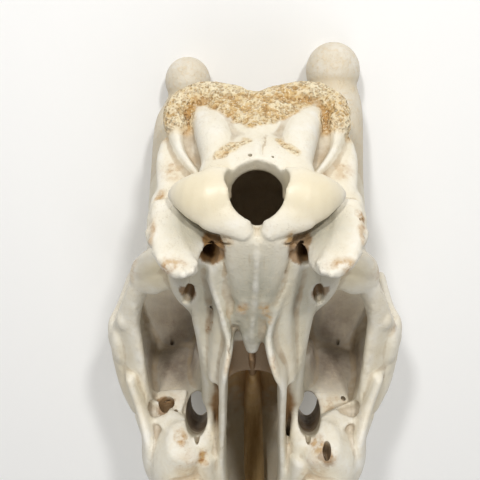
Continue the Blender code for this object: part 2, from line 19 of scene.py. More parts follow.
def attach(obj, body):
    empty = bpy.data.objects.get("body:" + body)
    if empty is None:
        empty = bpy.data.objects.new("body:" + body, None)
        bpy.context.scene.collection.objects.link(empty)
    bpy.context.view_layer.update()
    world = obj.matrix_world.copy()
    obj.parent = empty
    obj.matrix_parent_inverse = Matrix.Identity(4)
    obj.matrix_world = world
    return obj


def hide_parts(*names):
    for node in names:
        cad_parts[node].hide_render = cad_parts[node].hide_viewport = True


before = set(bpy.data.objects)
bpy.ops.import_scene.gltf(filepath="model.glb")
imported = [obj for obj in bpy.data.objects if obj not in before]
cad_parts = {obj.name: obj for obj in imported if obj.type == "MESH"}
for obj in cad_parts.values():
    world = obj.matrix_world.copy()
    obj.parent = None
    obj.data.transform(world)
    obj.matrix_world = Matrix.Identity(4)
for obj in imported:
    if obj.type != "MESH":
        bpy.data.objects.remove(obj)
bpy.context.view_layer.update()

MM = 0.001

# Driving dimensions, in millimetres: each horn (its knob's radius, half its thickness, and where the knob
# is), the seams, and how far the middle of the skull is set to its left.
LEFT_HORN = (19.5, 27.5, 58.5, 65, 190)
RIGHT_HORN = (23, 25, 63.5, 54, 189)
SEAM = 0.12
SWAY = 3.9

# How the skull lies, as in the solids: degrees, and millimetres.
PITCH, ROLL = 17.87, 0.15
REST_X, REST_Y, REST_Z = 1.67, 297.6, 220.11
LYING = (
    Matrix.Translation(Vector((REST_X, REST_Y, REST_Z)) * MM)
    @ Matrix.Rotation(math.radians(PITCH), 4, "X")
    @ Matrix.Rotation(math.radians(180 + ROLL), 4, "Y")
)

# The size of a voxel of the surface, in millimetres.
VOXEL = 1.6

OUT = (1, 0, 0)


def smooth_rows(rows, count):
    """Rows of numbers carried through a Catmull-Rom curve, with count rows evenly spaced along it."""
    rows = np.asarray(rows, float)
    steps = np.linalg.norm(np.diff(rows[:, :3], axis=0), axis=1)
    along = np.concatenate([[0], np.cumsum(steps)])
    spot = np.interp(np.linspace(0, along[-1], count), along, np.arange(len(rows)))
    first = np.minimum(spot.astype(int), len(rows) - 2)
    t = (spot - first)[:, None]
    ends = np.vstack([2 * rows[0] - rows[1], rows, 2 * rows[-1] - rows[-2]])
    p0, p1, p2, p3 = (ends[first + k] for k in range(4))
    return 0.5 * (
        2 * p1
        + (p2 - p0) * t
        + (2 * p0 - 5 * p1 + 4 * p2 - p3) * t**2
        + (3 * p1 - p0 - 3 * p2 + p3) * t**3
    )


def skin(rings):
    """Points and faces of a closed surface over a stack of rings, with a fan on each end."""
    count, around = rings.shape[:2]
    points = np.vstack([rings.reshape(-1, 3), rings[0].mean(0), rings[-1].mean(0)])
    row, column = np.meshgrid(np.arange(count - 1) * around, np.arange(around), indexing="ij")
    after = (column + 1) % around
    sides = np.stack([row + column, row + after, row + around + after, row + around + column], -1)
    faces = sides.reshape(-1, 4).tolist()
    last = (count - 1) * around
    for k in range(around):
        faces.append([count * around, (k + 1) % around, k])
        faces.append([count * around + 1, last + k, last + (k + 1) % around])
    return points, faces


def loft(stations, square=2.0, side=None, cap=6.0, around=24, step=5):
    """A section carried along the stations, as points and faces.

    The section is a superellipse of exponent square. Its width lies along side, or level and square to
    the path where side is left out. A dome of height cap, at most, rounds each end off. Step is the
    distance along the path from one ring of points to the next.
    """
    stations = np.asarray([s if len(s) == 6 else (*s, s[-1]) for s in stations], float)
    length = np.linalg.norm(np.diff(stations[:, :3], axis=0), axis=1).sum()
    rows = smooth_rows(stations, int(np.clip(length / step, 7, 60)))
    centre = rows[:, :3]
    half = np.maximum(rows[:, 3:], 0.4)
    tangent = np.gradient(centre, axis=0)
    tangent /= np.linalg.norm(tangent, axis=1)[:, None]
    if side is None:
        across = np.cross(tangent, (0, 0, 1.0))
    else:
        across = np.asarray(side, float) - (tangent @ np.asarray(side, float))[:, None] * tangent
    across /= np.linalg.norm(across, axis=1)[:, None]
    up = np.cross(across, tangent)
    up *= np.where(up[:, 2:] < 0, -1, 1) if abs(up[:, 2]).min() > 0.2 else 1
    for end, way in ((0, -1), (-1, 1)):
        depth = min(cap, 0.9 * half[end].min())
        turn = np.radians([30, 60, 80])
        extra = centre[end] + way * depth * np.sin(turn)[:, None] * tangent[end]
        shrunk = half[end] * np.cos(turn)[:, None] ** 0.7
        order = slice(None, None, way)
        parts = [(extra[order], centre), (shrunk[order], half)]
        parts += [(np.repeat(across[end][None], 3, 0), across), (np.repeat(up[end][None], 3, 0), up)]
        centre, half, across, up = (np.vstack(p if way < 0 else p[::-1]) for p in parts)
    angle = np.linspace(0, 2 * math.pi, around, endpoint=False)
    c = np.sign(np.cos(angle)) * abs(np.cos(angle)) ** (2 / square)
    s = np.sign(np.sin(angle)) * abs(np.sin(angle)) ** (2 / square)
    rise = np.where(s > 0, half[:, 1:2] * s, half[:, 2:3] * s)
    rings = centre[:, None] + across[:, None] * (half[:, :1] * c)[..., None] + up[:, None] * rise[..., None]
    return skin(rings)


def blob(centre, radii, turn=(0, 0, 0)):
    """An ellipsoid, turned about the w, a and h axes by degrees, as points and faces."""
    polar = np.linspace(0, math.pi, 13)[1:-1, None]
    angle = np.linspace(0, 2 * math.pi, 20, endpoint=False)
    ball = np.stack(
        [np.sin(polar) * np.cos(angle), np.sin(polar) * np.sin(angle), np.cos(polar) + 0 * angle], -1
    )
    spin = Matrix.Identity(3)
    for axis, degrees in zip("XYZ", turn):
        spin = Matrix.Rotation(math.radians(degrees), 3, axis) @ spin
    return skin((ball * radii) @ np.array(spin).T + np.asarray(centre, float))


def ring(centre, normal, radii, half, around=48):
    """A closed ring of oval outline about a normal; half is its half thickness out and along the normal."""
    normal = np.asarray(normal, float) / np.linalg.norm(normal)
    level = np.cross((0, 0, 1.0), normal)
    level /= np.linalg.norm(level)
    upright = np.cross(normal, level)
    turn = np.linspace(0, 2 * math.pi, around + 1)[:, None]
    out = np.cos(turn) * level + np.sin(turn) * upright
    path = np.asarray(centre, float) + radii[0] * np.cos(turn) * level + radii[1] * np.sin(turn) * upright
    angle = np.linspace(0, 2 * math.pi, 16, endpoint=False)
    rings = (
        path[:, None]
        + out[:, None] * (half[0] * np.cos(angle))[:, None]
        + normal * (half[1] * np.sin(angle))[:, None]
    )
    return skin(rings)


def both(*shapes):
    """Each shape and its mirror image."""
    return [*shapes, *((points * (-1, 1, 1), faces) for points, faces in shapes)]


def braincase():
    """The long box of the braincase, its roof with the brow plate, and the bump over the brow."""
    box = loft(
        [
            (0, 52, 62, 58, 46, 44), (0, 60, 60, 58, 49, 48), (0, 70, 58, 56, 51, 50),
            (0, 100, 60, 51, 51, 50), (0, 140, 66, 52, 51, 50), (0, 180, 72, 54, 50, 46),
            (0, 215, 78, 52, 46, 42), (0, 255, 80, 50, 44, 42), (0, 300, 74, 50, 42, 40),
        ],
        square=2.7,
    )
    plate = loft(
        [
            (0, 84, 96, 52, 14, 18), (0, 115, 100, 70, 17, 16), (0, 155, 102, 89, 19, 14),
            (0, 198, 101, 100, 22, 13), (0, 230, 100, 110, 26, 12), (0, 264, 98, 117, 28, 12),
            (0, 292, 91, 108, 32, 16), (0, 326, 80, 78, 26, 20),
        ],
        square=2.6,
    )
    bump = blob((0, 288, 108), (42, 46, 30), (-18, 0, 0))
    floor = loft(
        [
            (0, 120, 18, 44, 24, 18), (0, 170, 24, 44, 30, 20), (0, 215, 30, 40, 40, 26),
            (0, 262, 34, 40, 40, 34), (0, 300, 30, 46, 50, 40),
        ],
        square=2.4,
    )
    return [box, plate, bump, floor]


def occiput():
    """The back plate of the skull, its crest and side ridges, and the swelling over the foramen magnum."""
    back = loft(
        [
            (0, 45, 115, 55, 15), (0, 47, 99, 61, 14), (0, 49, 84, 60, 14), (0, 51, 68, 53, 14),
            (0, 52, 54, 46, 14), (0, 53, 40, 42, 14), (0, 55, 26, 41, 14), (0, 58, 8, 44, 12),
        ],
        side=OUT, square=3.2,
    )
    crest = loft(
        [
            (-61, 36, 88, 8, 8), (-61, 34, 106, 11, 9), (-47, 32, 121, 11, 11), (-24, 32, 120, 11, 12),
            (0, 33, 112.5, 10, 11), (24, 32, 120, 11, 12), (47, 32, 121, 11, 11), (61, 34, 106, 11, 9),
            (61, 36, 88, 8, 8),
        ],
        side=(0, 1, 0),
    )
    tip = loft(
        [
            (0, 36, 112, 50, 13), (0, 37, 96, 50, 14), (0, 36, 84, 34, 14), (0, 34, 70, 20, 14),
            (0, 33, 58, 10, 14),
        ],
        side=OUT,
    )
    edge = loft(
        [
            (60, 39, 96, 9, 10), (60, 42, 86, 7, 10), (57.5, 45, 70, 4.5, 10), (49.5, 47, 53, 4, 10),
            (42.5, 48, 40, 4, 10), (41, 50, 22, 6, 10),
        ],
        side=OUT,
    )
    pad = loft(
        [
            (38, 39, 108, 14, 10), (35.5, 36, 94, 13.5, 11), (32.5, 33, 79, 13.5, 12),
            (29.5, 31.5, 63, 13.5, 13), (27, 31, 47, 13, 13), (26, 33, 33, 13, 13), (28, 40, 20, 13, 13),
        ],
        side=OUT, square=2.3,
    )
    swelling = loft(
        [(0, 36, 66, 22, 13), (0, 32, 50, 34, 14), (0, 29, 34, 40, 14), (0, 30, 20, 41, 12)], side=OUT
    )
    middle = loft([(0, 24, 62, 2.5, 3), (0, 19, 46, 2.5, 3), (0, 16, 32, 2.5, 3)], side=OUT)
    mastoid = loft(
        [
            (60, 68, 86, 12, 14), (62, 69, 60, 13, 15), (63, 70, 38, 12.5, 16), (62, 72, 14, 12.5, 16),
            (58, 72, -6, 12, 12),
        ],
        side=OUT,
    )
    brink = loft([(71, 58, 32, 5, 8), (71.5, 57, 12, 5.5, 8), (70, 58, -8, 6, 7)], side=OUT)
    web = loft([(52, 64, 30, 16, 14), (54, 62, 4, 15, 12), (51, 60, -17, 11, 9)], side=OUT)
    flat = loft(
        [
            (65, 51, 84, 8, 8), (63.5, 50, 66, 11, 8), (59.5, 51, 52, 14, 8), (57, 52, 38, 15, 8),
            (58, 55, 20, 13, 8),
        ],
        side=OUT, square=2.6,
    )
    sheet = loft(
        [
            (46, 57, 14, 13, 7), (45.5, 56, -2, 13, 6), (44, 55.5, -16, 12, 5.5), (43, 56, -28, 9.5, 5),
            (45, 55, -38, 6, 4.5),
        ],
        side=(0.87, -0.5, 0),
    )
    return [back, crest, tip, swelling, middle, *both(edge, pad, flat, mastoid, brink, web, sheet)]


def base():
    """The bone under the brain, from the foramen magnum to the back of the nose."""
    keel = loft(
        [
            (0, 48, -4, 26, 16, 17), (0, 75, -5, 23, 14, 16), (0, 103, -6, 18, 16, 16),
            (0, 127, -7, 13.5, 18, 15), (0, 150, -8, 9, 18, 14), (0, 167, -9, 5.5, 16, 12),
        ],
        square=3.2,
    )
    ridge = loft([(0, 58, -18, 3.5, 5), (0, 105, -19, 3.5, 5), (0, 150, -19, 3, 4.5)])
    lump = blob((11, 124, -19), (5, 12, 3.6))
    ear = loft(
        [(42, 60, 6, 24, 22), (44, 90, 9, 22, 18), (43, 120, 12, 20, 18), (40, 142, 16, 12, 18)], square=2.5
    )
    flank = loft(
        [
            (38, 118, 12, 12, 20, 17), (37, 145, 10, 11, 25, 19), (35, 180, 8, 9, 27, 22),
            (34, 220, 6, 8.5, 28, 21), (35, 262, 6, 9, 30, 22), (39, 300, 2, 12, 30, 22),
        ],
        side=OUT, square=2.5,
    )
    saddle = loft(
        [
            (26, 74, 0, 10, 8, 14), (24, 100, 0, 10, 8, 15), (21, 125, 0, 10, 8, 18),
            (22, 150, -2, 11, 8, 20), (26, 176, -4, 9, 8, 20), (30, 200, -6, 6, 8, 20),
        ],
        side=OUT, square=2.4,
    )
    return [keel, ridge, *both(lump, ear, flank, saddle)]


def cheek():
    """The bar of the cheek, from the jaw joint round under the eye to the side of the face."""
    root = loft(
        [(44, 112, 23, 28, 12), (62, 113, 19, 26, 9.5), (75, 118, 18, 20, 8.5), (83, 130, 19, 14, 8.5)],
        side=(0, 1, 0), square=2.6,
    )
    bar = loft(
        [
            (80, 119, 22, 9, 10), (90, 140, 20, 8, 9), (99, 168, 19, 10, 7.5), (103, 196, 19, 16, 6.5),
            (104.5, 225, 17, 18.5, 6.5), (102.5, 252, 11, 17, 8), (96, 272, 3, 13, 9),
        ],
        side=(0.8, 0, 0.6), square=2.3,
    )
    plate = loft(
        [
            (103, 232, 6, 5, 10), (96, 258, 1, 6, 16), (88.5, 284, -10, 8, 28), (87.5, 308, -22, 9, 24),
            (80, 334, -26, 8, 17),
        ],
        side=OUT,
    )
    behind_eye = loft(
        [
            (110, 214, 96, 5, 13), (112.5, 214, 78, 5, 11), (114.5, 212, 58, 5.5, 11),
            (117.5, 210, 38, 6, 14), (110, 208, 18, 8, 20),
        ],
        side=OUT, square=2.4,
    )
    under_eye = loft(
        [
            (115, 214, 27, 5, 15, 12), (113, 236, 20, 5, 17, 10), (104, 262, 13, 6, 20, 9),
            (92, 286, 4, 8, 28, 20),
        ],
        side=(0.9, 0, -0.4),
    )
    before_eye = loft(
        [
            (101, 286, 97, 9, 17), (102, 288, 80, 10, 18), (102, 287, 56, 9, 15), (100, 284, 34, 9, 16),
            (94, 282, 8, 9, 20),
        ],
        side=OUT,
    )
    rim = ring((108, 247, 61), (0.995, 0.05, -0.08), (35, 34), (6, 7))
    knob = blob((104, 173, 17), (6, 10, 7))
    return both(root, bar, plate, behind_eye, under_eye, before_eye, rim, knob)


def face():
    """The muzzle: its arched roof, its sides, the wall before the eye, the tooth sockets and the palate."""
    tube = loft(
        [
            (0, 272, 74, 54, 48, 60), (0, 300, 58, 60, 58, 60), (0, 340, 40, 58, 56, 62),
            (0, 390, 20, 50, 54, 62), (0, 430, 7, 43, 51, 58), (0, 458, -2, 39.5, 47, 54),
        ],
        square=2.5, cap=1,
    )
    roof = loft(
        [
            (18, 440, 43, 18, 8, 5), (17, 465, 33, 17, 8, 4.5), (14.5, 486, 25, 12, 6.5, 4),
            (12, 500, 20, 6, 4.5, 3), (11, 509, 17, 3, 3, 2.5),
        ],
        cap=2,
    )
    side = loft(
        [
            (39, 446, -11, 4, 43, 45), (36, 480, -22, 3.6, 38, 34), (32, 512, -35, 3.6, 29, 22),
            (28, 542, -45, 3.6, 17, 12), (24, 566, -52, 3.6, 8, 6),
        ],
        side=OUT, cap=3,
    )
    socket = loft(
        [
            (56, 268, -36, 17, 20, 18), (64, 296, -30, 25, 36, 28), (60, 340, -30, 25, 36, 30),
            (51, 390, -32, 19, 30, 28), (43, 430, -36, 12, 26, 24), (36, 480, -42, 8, 18, 15),
            (32, 515, -47, 6, 12, 10), (28, 550, -54, 4, 6, 6), (25, 580, -57, 3, 3, 3),
        ],
        square=2.6,
    )
    cheek_side = loft(
        [
            (62, 312, -4, 22, 40, 30), (55, 350, -8, 19, 36, 28), (47, 400, -12, 14, 30, 26),
            (41, 450, -18, 8, 26, 24),
        ]
    )
    inner = loft([
        (40, 282, -34, 9, 18, 18), (42, 310, -38, 14, 16, 18), (44, 340, -44, 14, 14, 14),
    ], square=2.4)
    wall = loft(
        [
            (79, 287, 34, 31, 58, 48), (74, 306, 32, 29, 56, 58), (63, 332, 22, 23, 50, 50),
            (55, 362, 8, 12, 40, 38),
        ],
        square=2.4,
    )
    crest = loft([
        (88, 290, -26, 4, 9), (87, 310, -40, 4, 7), (80, 342, -40, 4, 6), (66, 374, -38, 4, 5),
    ], side=OUT)
    palate = loft([
        (0, 330, -42, 50, 6), (0, 400, -44, 44, 6), (0, 460, -49, 34, 5), (0, 515, -54, 27, 4),
        (0, 545, -56, 17, 3.5),
    ])
    bulla = loft(
        [(92, 284, 4, 13, 11), (81, 280, -5, 15, 13), (68, 280, -12, 14, 13), (56, 284, -18, 12, 11)],
        side=(0, 1, 0),
    )
    return [tube, palate, *both(roof, side, cheek_side, socket, inner, wall, crest, bulla)]


def snout():
    """The two long rods of the front of the upper jaw, spreading flat at their tips."""
    rod = loft(
        [
            (35, 440, 22, 4, 8), (33, 470, 7, 4.5, 8), (30, 505, -13, 5, 8), (26, 545, -36, 7, 8),
            (22, 590, -52, 9, 5.5), (19, 620, -59, 11.5, 4.5), (17, 634, -61, 11.5, 4),
        ],
        cap=4,
    )
    shelf = loft([(20, 520, -56, 10, 3.5), (17, 560, -57, 6, 3.5), (15, 596, -59, 4, 3.5)], cap=3)
    return both(rod, shelf)


def horn(knob, thick, side, forward, height):
    """One ossicone: a broad root, a leaning shaft of half width thick, and a round knob at a centre."""
    lean = np.array([0, 0.707, -0.707])
    top = np.array([side, forward, height])
    neck, shaft = top + 15 * lean, top + 36 * lean
    return [
        loft(
            [
                (59, 162, 110, 26, 20, 8), (61, 146, 115, 31, 29, 26), (62, 122, 132, 28, 28, 28),
                (*shaft, thick, 25.5, 25.5), (*neck, knob * 0.9, knob * 0.9, knob * 0.9),
            ],
            side=OUT,
        ),
        blob(top, (knob, knob + 1, knob + 1)),
    ]


def wings():
    """The thin wing plates that hang on both sides of the back of the nose.

    A row has the distance out of the left plate and of the right one, and then the rest of a station.
    """
    rows = [
        (31.3, 25, 82, -6, 3.2, 10, 8), (31.4, 22.5, 95, -6, 3.2, 12, 10),
        (27.8, 19.5, 108, -8, 3.4, 14, 11), (23.7, 16.5, 120, -10, 3.6, 16, 12),
        (20.5, 13, 134, -12, 3.6, 18, 14), (17.5, 12, 146, -14, 3.6, 20, 17),
        (17.3, 13.5, 156, -18, 3.6, 22, 21), (20, 17.5, 166, -20, 3.6, 24, 26),
        (22, 23, 182, -20, 3.6, 26, 26), (23, 23.5, 215, -20, 3.6, 27, 25),
        (25, 24, 262, -20, 3.6, 30, 25), (27, 26, 300, -26, 4.4, 26, 21), (28, 28, 336, -36, 7, 16, 16),
    ]
    return [
        loft([(left, *row) for left, _, *row in rows], side=OUT, square=2.6),
        loft([(-right, *row) for _, right, *row in rows], side=OUT, square=2.6),
    ]


def vomer():
    """The keel along the roof of the nose, which widens forwards from a thin blade under the brain."""
    return [
        loft(
            [
                (0, 196, 0, 2.6, 5, 5), (0, 225, 14, 3.4, 8, 8), (0, 262, 34, 5, 18, 11),
                (0, 300, 49, 7, 22, 10), (0, 340, 56, 8.5, 26, 10), (0, 385, 44, 9.5, 14, 10),
                (0, 430, 28, 10, 16, 9), (0, 480, 10, 9, 14, 8), (0, 530, -14, 6, 6, 6),
            ],
            side=OUT, square=2.4, cap=1.5, around=14, step=14,
        )
    ]


def ear_processes():
    """The broad plate that hangs down behind each ear."""
    return both(
        loft(
            [
                (62, 52, 18, 12, 9), (62, 52, 0, 11.5, 8), (60, 52, -14, 12, 7), (56, 52, -28, 12, 6),
                (51, 52, -38, 10.5, 5.5), (51, 52, -44, 6, 5),
            ],
            side=OUT, square=3.2, cap=3,
        )
    )


def condyles():
    """The two smooth rollers beside the foramen magnum, each with a lobe that runs in under it."""
    upper = loft(
        [
            (59, 36, 14, 3.5, 4), (54, 33, 11, 8, 8.5), (45, 29.5, 6.5, 12, 15), (35, 28.5, 3, 14, 19.3),
            (27, 27.5, 4, 14, 20), (15, 28.5, 4.5, 13, 18.5),
        ],
        side=(0, 0.75, 0.66), cap=1.5, around=32,
    )
    lower = loft(
        [
            (29, 31.5, -2, 11, 17), (22, 34, -6, 10.5, 16), (16, 37, -10, 9, 13),
            (11, 40, -14, 7, 9.5), (7, 43, -17.5, 4, 6),
        ],
        side=(0, 0.75, 0.66), cap=3, around=32,
    )
    return both(upper, lower)


def teeth():
    """Six cheek teeth a side, three large behind and three small in front, each with paired cusps."""
    shapes = []
    a = 291
    for length, wide, lobes in [
        (28, 13, 2), (29, 14, 2), (27, 13, 2), (22, 11.5, 1), (22, 11, 1), (20, 10, 1),
    ]:
        for lobe in range(lobes):
            spot = a + length * (lobe + 0.5) / lobes
            w = np.interp(spot, [291, 360, 440], [58, 52, 40])
            half = length / lobes / 2
            shapes += [
                loft(
                    [
                        (w + out * wide * 0.5, spot, -50, wide * 0.6, half * 1.04),
                        (w + out * wide * 0.5, spot, -72, wide * 0.56, half),
                        (w + out * wide * 0.46, spot, -79, wide * 0.25, half * 0.5),
                    ],
                    side=OUT, square=2.6, cap=2, around=12,
                )
                for out in (-1, 1)
            ]
        a += length
    return both(*shapes)


def hollows():
    """The spaces that are cut out: nose, brain, ears, eye sockets and the slots through the face."""
    nose = loft(
        [
            (0, 520, -14, 24, 28, 32), (0, 470, -6, 29, 34, 40), (0, 420, 10, 35, 38, 50),
            (0, 370, 26, 40, 40, 64), (0, 325, 34, 38, 40, 66), (0, 285, 24, 32, 30, 62),
            (0, 240, -8, 23, 22, 46), (0, 204, -23, 19, 13, 33), (0, 180, -42, 11, 12, 18),
        ],
        square=2.6,
    )
    throat = loft([(0, 300, -62, 22, 30), (0, 262, -56, 22, 30), (0, 215, -50, 21, 26)], square=2.6)
    brain = loft(
        [
            (0, 39, 22, 21, 15, 20), (0, 49, 28, 26, 20, 26), (0, 60, 33, 32, 27, 30),
            (0, 72, 36, 34, 30, 33), (0, 120, 46, 38, 34), (0, 165, 54, 30, 26),
        ],
        side=OUT,
    )
    entry = loft(
        [
            (0, 0, -14, 18, 14, 18), (0, 22, 0.5, 19, 15, 18.5), (0, 42, 12, 18, 13, 18),
            (0, 56, 20, 18, 13, 18),
        ],
        side=OUT,
    )
    bevel = loft(
        [(0, 2, 3, 22, 21, 14), (0, 15, 7, 22, 20.4, 16), (0, 28, 9, 20, 21.5, 18), (0, 36, 11, 20, 21, 18)],
        side=OUT, square=1.9, cap=1,
    )
    ear_left = loft(
        [
            (30, 54, -38, 9.5, 8), (31, 60, -25, 9, 9), (32, 67, -13, 7, 10), (34, 73, 0, 4.5, 9),
            (36, 79, 14, 3, 7),
        ],
        side=OUT,
    )
    ear_right = loft(
        [(-29, 55, -40, 4, 10), (-31, 64, -20, 5, 11), (-34, 73, -2, 4.5, 10), (-36, 79, 12, 3, 7)],
        side=(0.9, 0.3, 0.2),
    )
    slot = loft([(51, 100, -34, 4, 12), (48, 118, -4, 4, 12), (47, 121, 3, 3.5, 10)], side=(1, -0.3, 0))
    socket = blob((92, 244, 58), (44, 29, 28))
    window = loft(
        [
            (46, 225, -46, 9, 15), (49, 300, 20, 10.5, 18), (51, 352, 70, 10.5, 18.5),
            (52, 400, 116, 10.5, 18.5),
        ],
        side=OUT,
    )
    pocket = blob((83, 266, -4), (12, 9, 8), (0, 0, -8))
    cleft = loft(
        [(1, 20, -20, 8.5, 4), (1.5, 31, -23, 7, 4.5), (2, 40, -27, 4, 4), (2.3, 46, -30, 2.5, 3)],
        side=OUT, cap=1,
    )
    paired = both(slot, socket, window, pocket)
    return [nose, throat, brain, bevel, entry, cleft, ear_left, ear_right, *paired]


def swayed(points):
    """Points of the skull with its middle set a little to its left, from the ears to the cheek teeth."""
    w, a, h = points.T
    back, front = np.clip((a - 50) / 110, 0, 1), np.clip((600 - a) / 270, 0, 1)
    shift = SWAY * back**2 * (3 - 2 * back) * front**2 * (3 - 2 * front)
    shift *= np.clip((120 - h) / 60, 0, 1) * np.clip(1 - 0.6 * (w / 125) ** 2, 0, 1)
    return points + shift[:, None] * OUT


def wedge(w, outline):
    """A closed prism between two values of w, inside an outline of (a, h) points."""
    count = len(outline)
    points = np.array([(side, a, h) for side in w for a, h in outline], float)
    walls = [[k, (k + 1) % count, count + (k + 1) % count, count + k] for k in range(count)]
    return points, [*walls, list(range(count)), list(range(count, 2 * count))]


def link(name, mesh):
    """A new object for a mesh."""
    item = bpy.data.objects.new(name, mesh)
    work.objects.link(item)
    return item


def raw(name, shapes, grow=0.0):
    """One object made of closed shapes just as they are, each grown outwards by a few tenths of a mm."""
    mesh = bpy.data.meshes.new(name)
    body = bmesh.new()
    for points, faces in shapes:
        spots = [body.verts.new(p) for p in (swayed(points) * (MM, -MM, MM)).tolist()]
        for face in faces:
            body.faces.new([spots[k] for k in face])
    bmesh.ops.recalc_face_normals(body, faces=body.faces)
    body.normal_update()
    for spot in body.verts:
        spot.co += spot.normal * spot.calc_shell_factor() * grow * MM
    body.to_mesh(mesh)
    body.free()
    return link(name, mesh)


def fused(name, shapes, voxel, rounds):
    """Closed shapes melted into one surface by a voxel remesh, and smoothed."""
    item = raw(name, shapes)
    melt(item, voxel, rounds)
    return item


def melt(item, voxel, rounds):
    """A voxel remesh and some rounds of smoothing, as modifiers."""
    blend = item.modifiers.new("blend", "REMESH")
    blend.mode = "VOXEL"
    blend.voxel_size = voxel * MM
    even = item.modifiers.new("even", "SMOOTH")
    even.factor = 0.5
    even.iterations = rounds


def boolean(item, cutter, operation):
    """A Boolean modifier on an object. The other object becomes a cutter, which isn't part of the model."""
    step = item.modifiers.new(operation.lower(), "BOOLEAN")
    step.operation = operation
    step.solver = "MANIFOLD"
    step.object = cutter
    cutter.hide_render = True
    cutter.display_type = "WIRE"


def regions():
    """Where one bone ends and the next begins: each bone's name and the shape that parts it off."""
    parts = []
    for side, sign in (("left", 1), ("right", -1)):
        parts += [
            (f"ossicone_{side}", wedge((sign * 16, sign * 110), [
                (38, 119), (16, 165), (30, 240), (215, 240), (215, 125),
            ])),
            (f"premaxilla_{side}", wedge((0, sign * 70), [
                (446, 24), (446, 6), (520, -36), (600, -82), (660, -90), (660, -20), (520, 9),
            ])),
            (f"nasal_{side}", wedge((0, sign * 33), [
                (312, 75), (312, 150), (540, 60), (540, -5), (450, 20),
            ])),
            (f"zygomatic_{side}", wedge((sign * 84, sign * 150), [
                (158, -60), (158, 42), (304, 42), (304, -8), (288, -32), (288, -60),
            ])),
            (f"temporal_{side}", wedge((sign * 47, sign * 150), [
                (66, -70), (54, 60), (80, 80), (158, 80), (158, -70),
            ])),
            (f"maxilla_{side}", wedge((0, sign * 120), [
                (306, 160), (306, -9), (289, -33), (262, -33), (262, -100), (700, -100), (700, 160),
            ])),
        ]
    parts += [
        ("occipital", wedge((-120, 120), [(-10, 150), (43, 150), (67, -60), (64, -90), (-10, -90)])),
        ("sphenoid", wedge((-120, 120), [(50, 30), (50, -90), (330, -90), (330, 24), (120, 12)])),
        ("frontal", wedge((-150, 150), [(176, 0), (152, 150), (330, 150), (330, 0)])),
    ]
    return parts


def largest(mesh):
    """Keeps only the largest closed surface of a mesh, so that no loose chip is left."""
    body = bmesh.new()
    body.from_mesh(mesh)
    bmesh.ops.remove_doubles(body, verts=body.verts, dist=1e-6)
    left = set(body.verts)
    islands = []
    while left:
        queue = [left.pop()]
        island = set(queue)
        while queue:
            for edge in queue.pop().link_edges:
                for spot in edge.verts:
                    if spot not in island:
                        island.add(spot)
                        queue.append(spot)
        left -= island
        islands.append(island)
    keep = max(islands, key=len)
    bmesh.ops.delete(body, geom=[v for v in body.verts if v not in keep], context="VERTS")
    bmesh.ops.triangulate(body, faces=body.faces)
    body.to_mesh(mesh)
    body.free()


def trim():
    """Small forms that the solids leave out: lumps on the ends of the ear plates, spurs and thin shells."""
    lumps = [
        ((65, 49, -33), 3.2), ((60, 50, -39), 3.6), ((54, 51, -44), 3.4), ((48, 50, -47), 3.2),
        ((42, 51, -43), 3.0), ((40, 51, -36), 2.6), ((73, 54, 22), 3.6), ((74, 52, 12), 3.0),
        ((74, 53, -6), 3.8), ((72, 51, -16), 3.0), ((69, 52, -25), 2.6),
    ]
    knobs = [blob(spot, (size, size * 0.8, size * 1.1), (0, 0, 25 * size)) for spot, size in lumps]
    spur = loft(
        [(34, 246, -13, 1.6, 2), (35.5, 254, -19, 4, 4.5), (39, 266, -27, 8.5, 9), (44, 282, -34, 12, 13)]
    )
    shell = loft(
        [(91, 270, 2, 2.2, 9), (78, 266, -9, 2.2, 10), (66, 264, -19, 2.2, 11), (52, 263, -31, 2.2, 9)],
        side=(0, 1, 0), cap=2,
    )
    bridge = loft([(30, 60, -14, 5, 4), (44, 58, -18, 4, 3.5), (52, 56, -22, 4, 3)], side=(0, 1, 0))
    plate = loft(
        [(90, 276, 13, 2.2, 9), (76, 273, 11, 2.2, 12), (60, 271, 8, 2.2, 14)], side=(0, 1, 0), cap=2
    )
    return both(*knobs, spur, shell, bridge) + [plate]


def whole_skull():
    """The whole skull in one closed surface, without the blade of the nose, as a mesh in skull axes."""
    left = horn(*LEFT_HORN)
    right = [(points * (-1, 1, 1), faces) for points, faces in horn(*RIGHT_HORN)]
    masses = [
        *braincase(), *occiput(), *base(), *wings(), *cheek(), *face(), *snout(), *ear_processes(),
        *left, *right, *trim(),
    ]
    whole = fused("masses", masses, VOXEL, 7)
    boolean(whole, fused("rollers", condyles(), VOXEL * 0.8, 2), "UNION")
    boolean(whole, fused("spaces", hollows(), VOXEL, 4), "DIFFERENCE")
    boolean(whole, fused("grinders", teeth(), VOXEL * 0.8, 1), "UNION")
    melt(whole, VOXEL, 1)
    boolean(whole, raw("holes", small_holes()), "DIFFERENCE")
    return settled(whole, "skull")


def settled(item, name):
    """A new object with the evaluated mesh of another, which is removed with its cutters."""
    bpy.context.view_layer.update()
    graph = bpy.context.evaluated_depsgraph_get()
    mesh = bpy.data.meshes.new_from_object(item.evaluated_get(graph))
    for step in item.modifiers:
        if step.type == "BOOLEAN":
            bpy.data.objects.remove(step.object)
    bpy.data.objects.remove(item)
    return link(name, mesh)


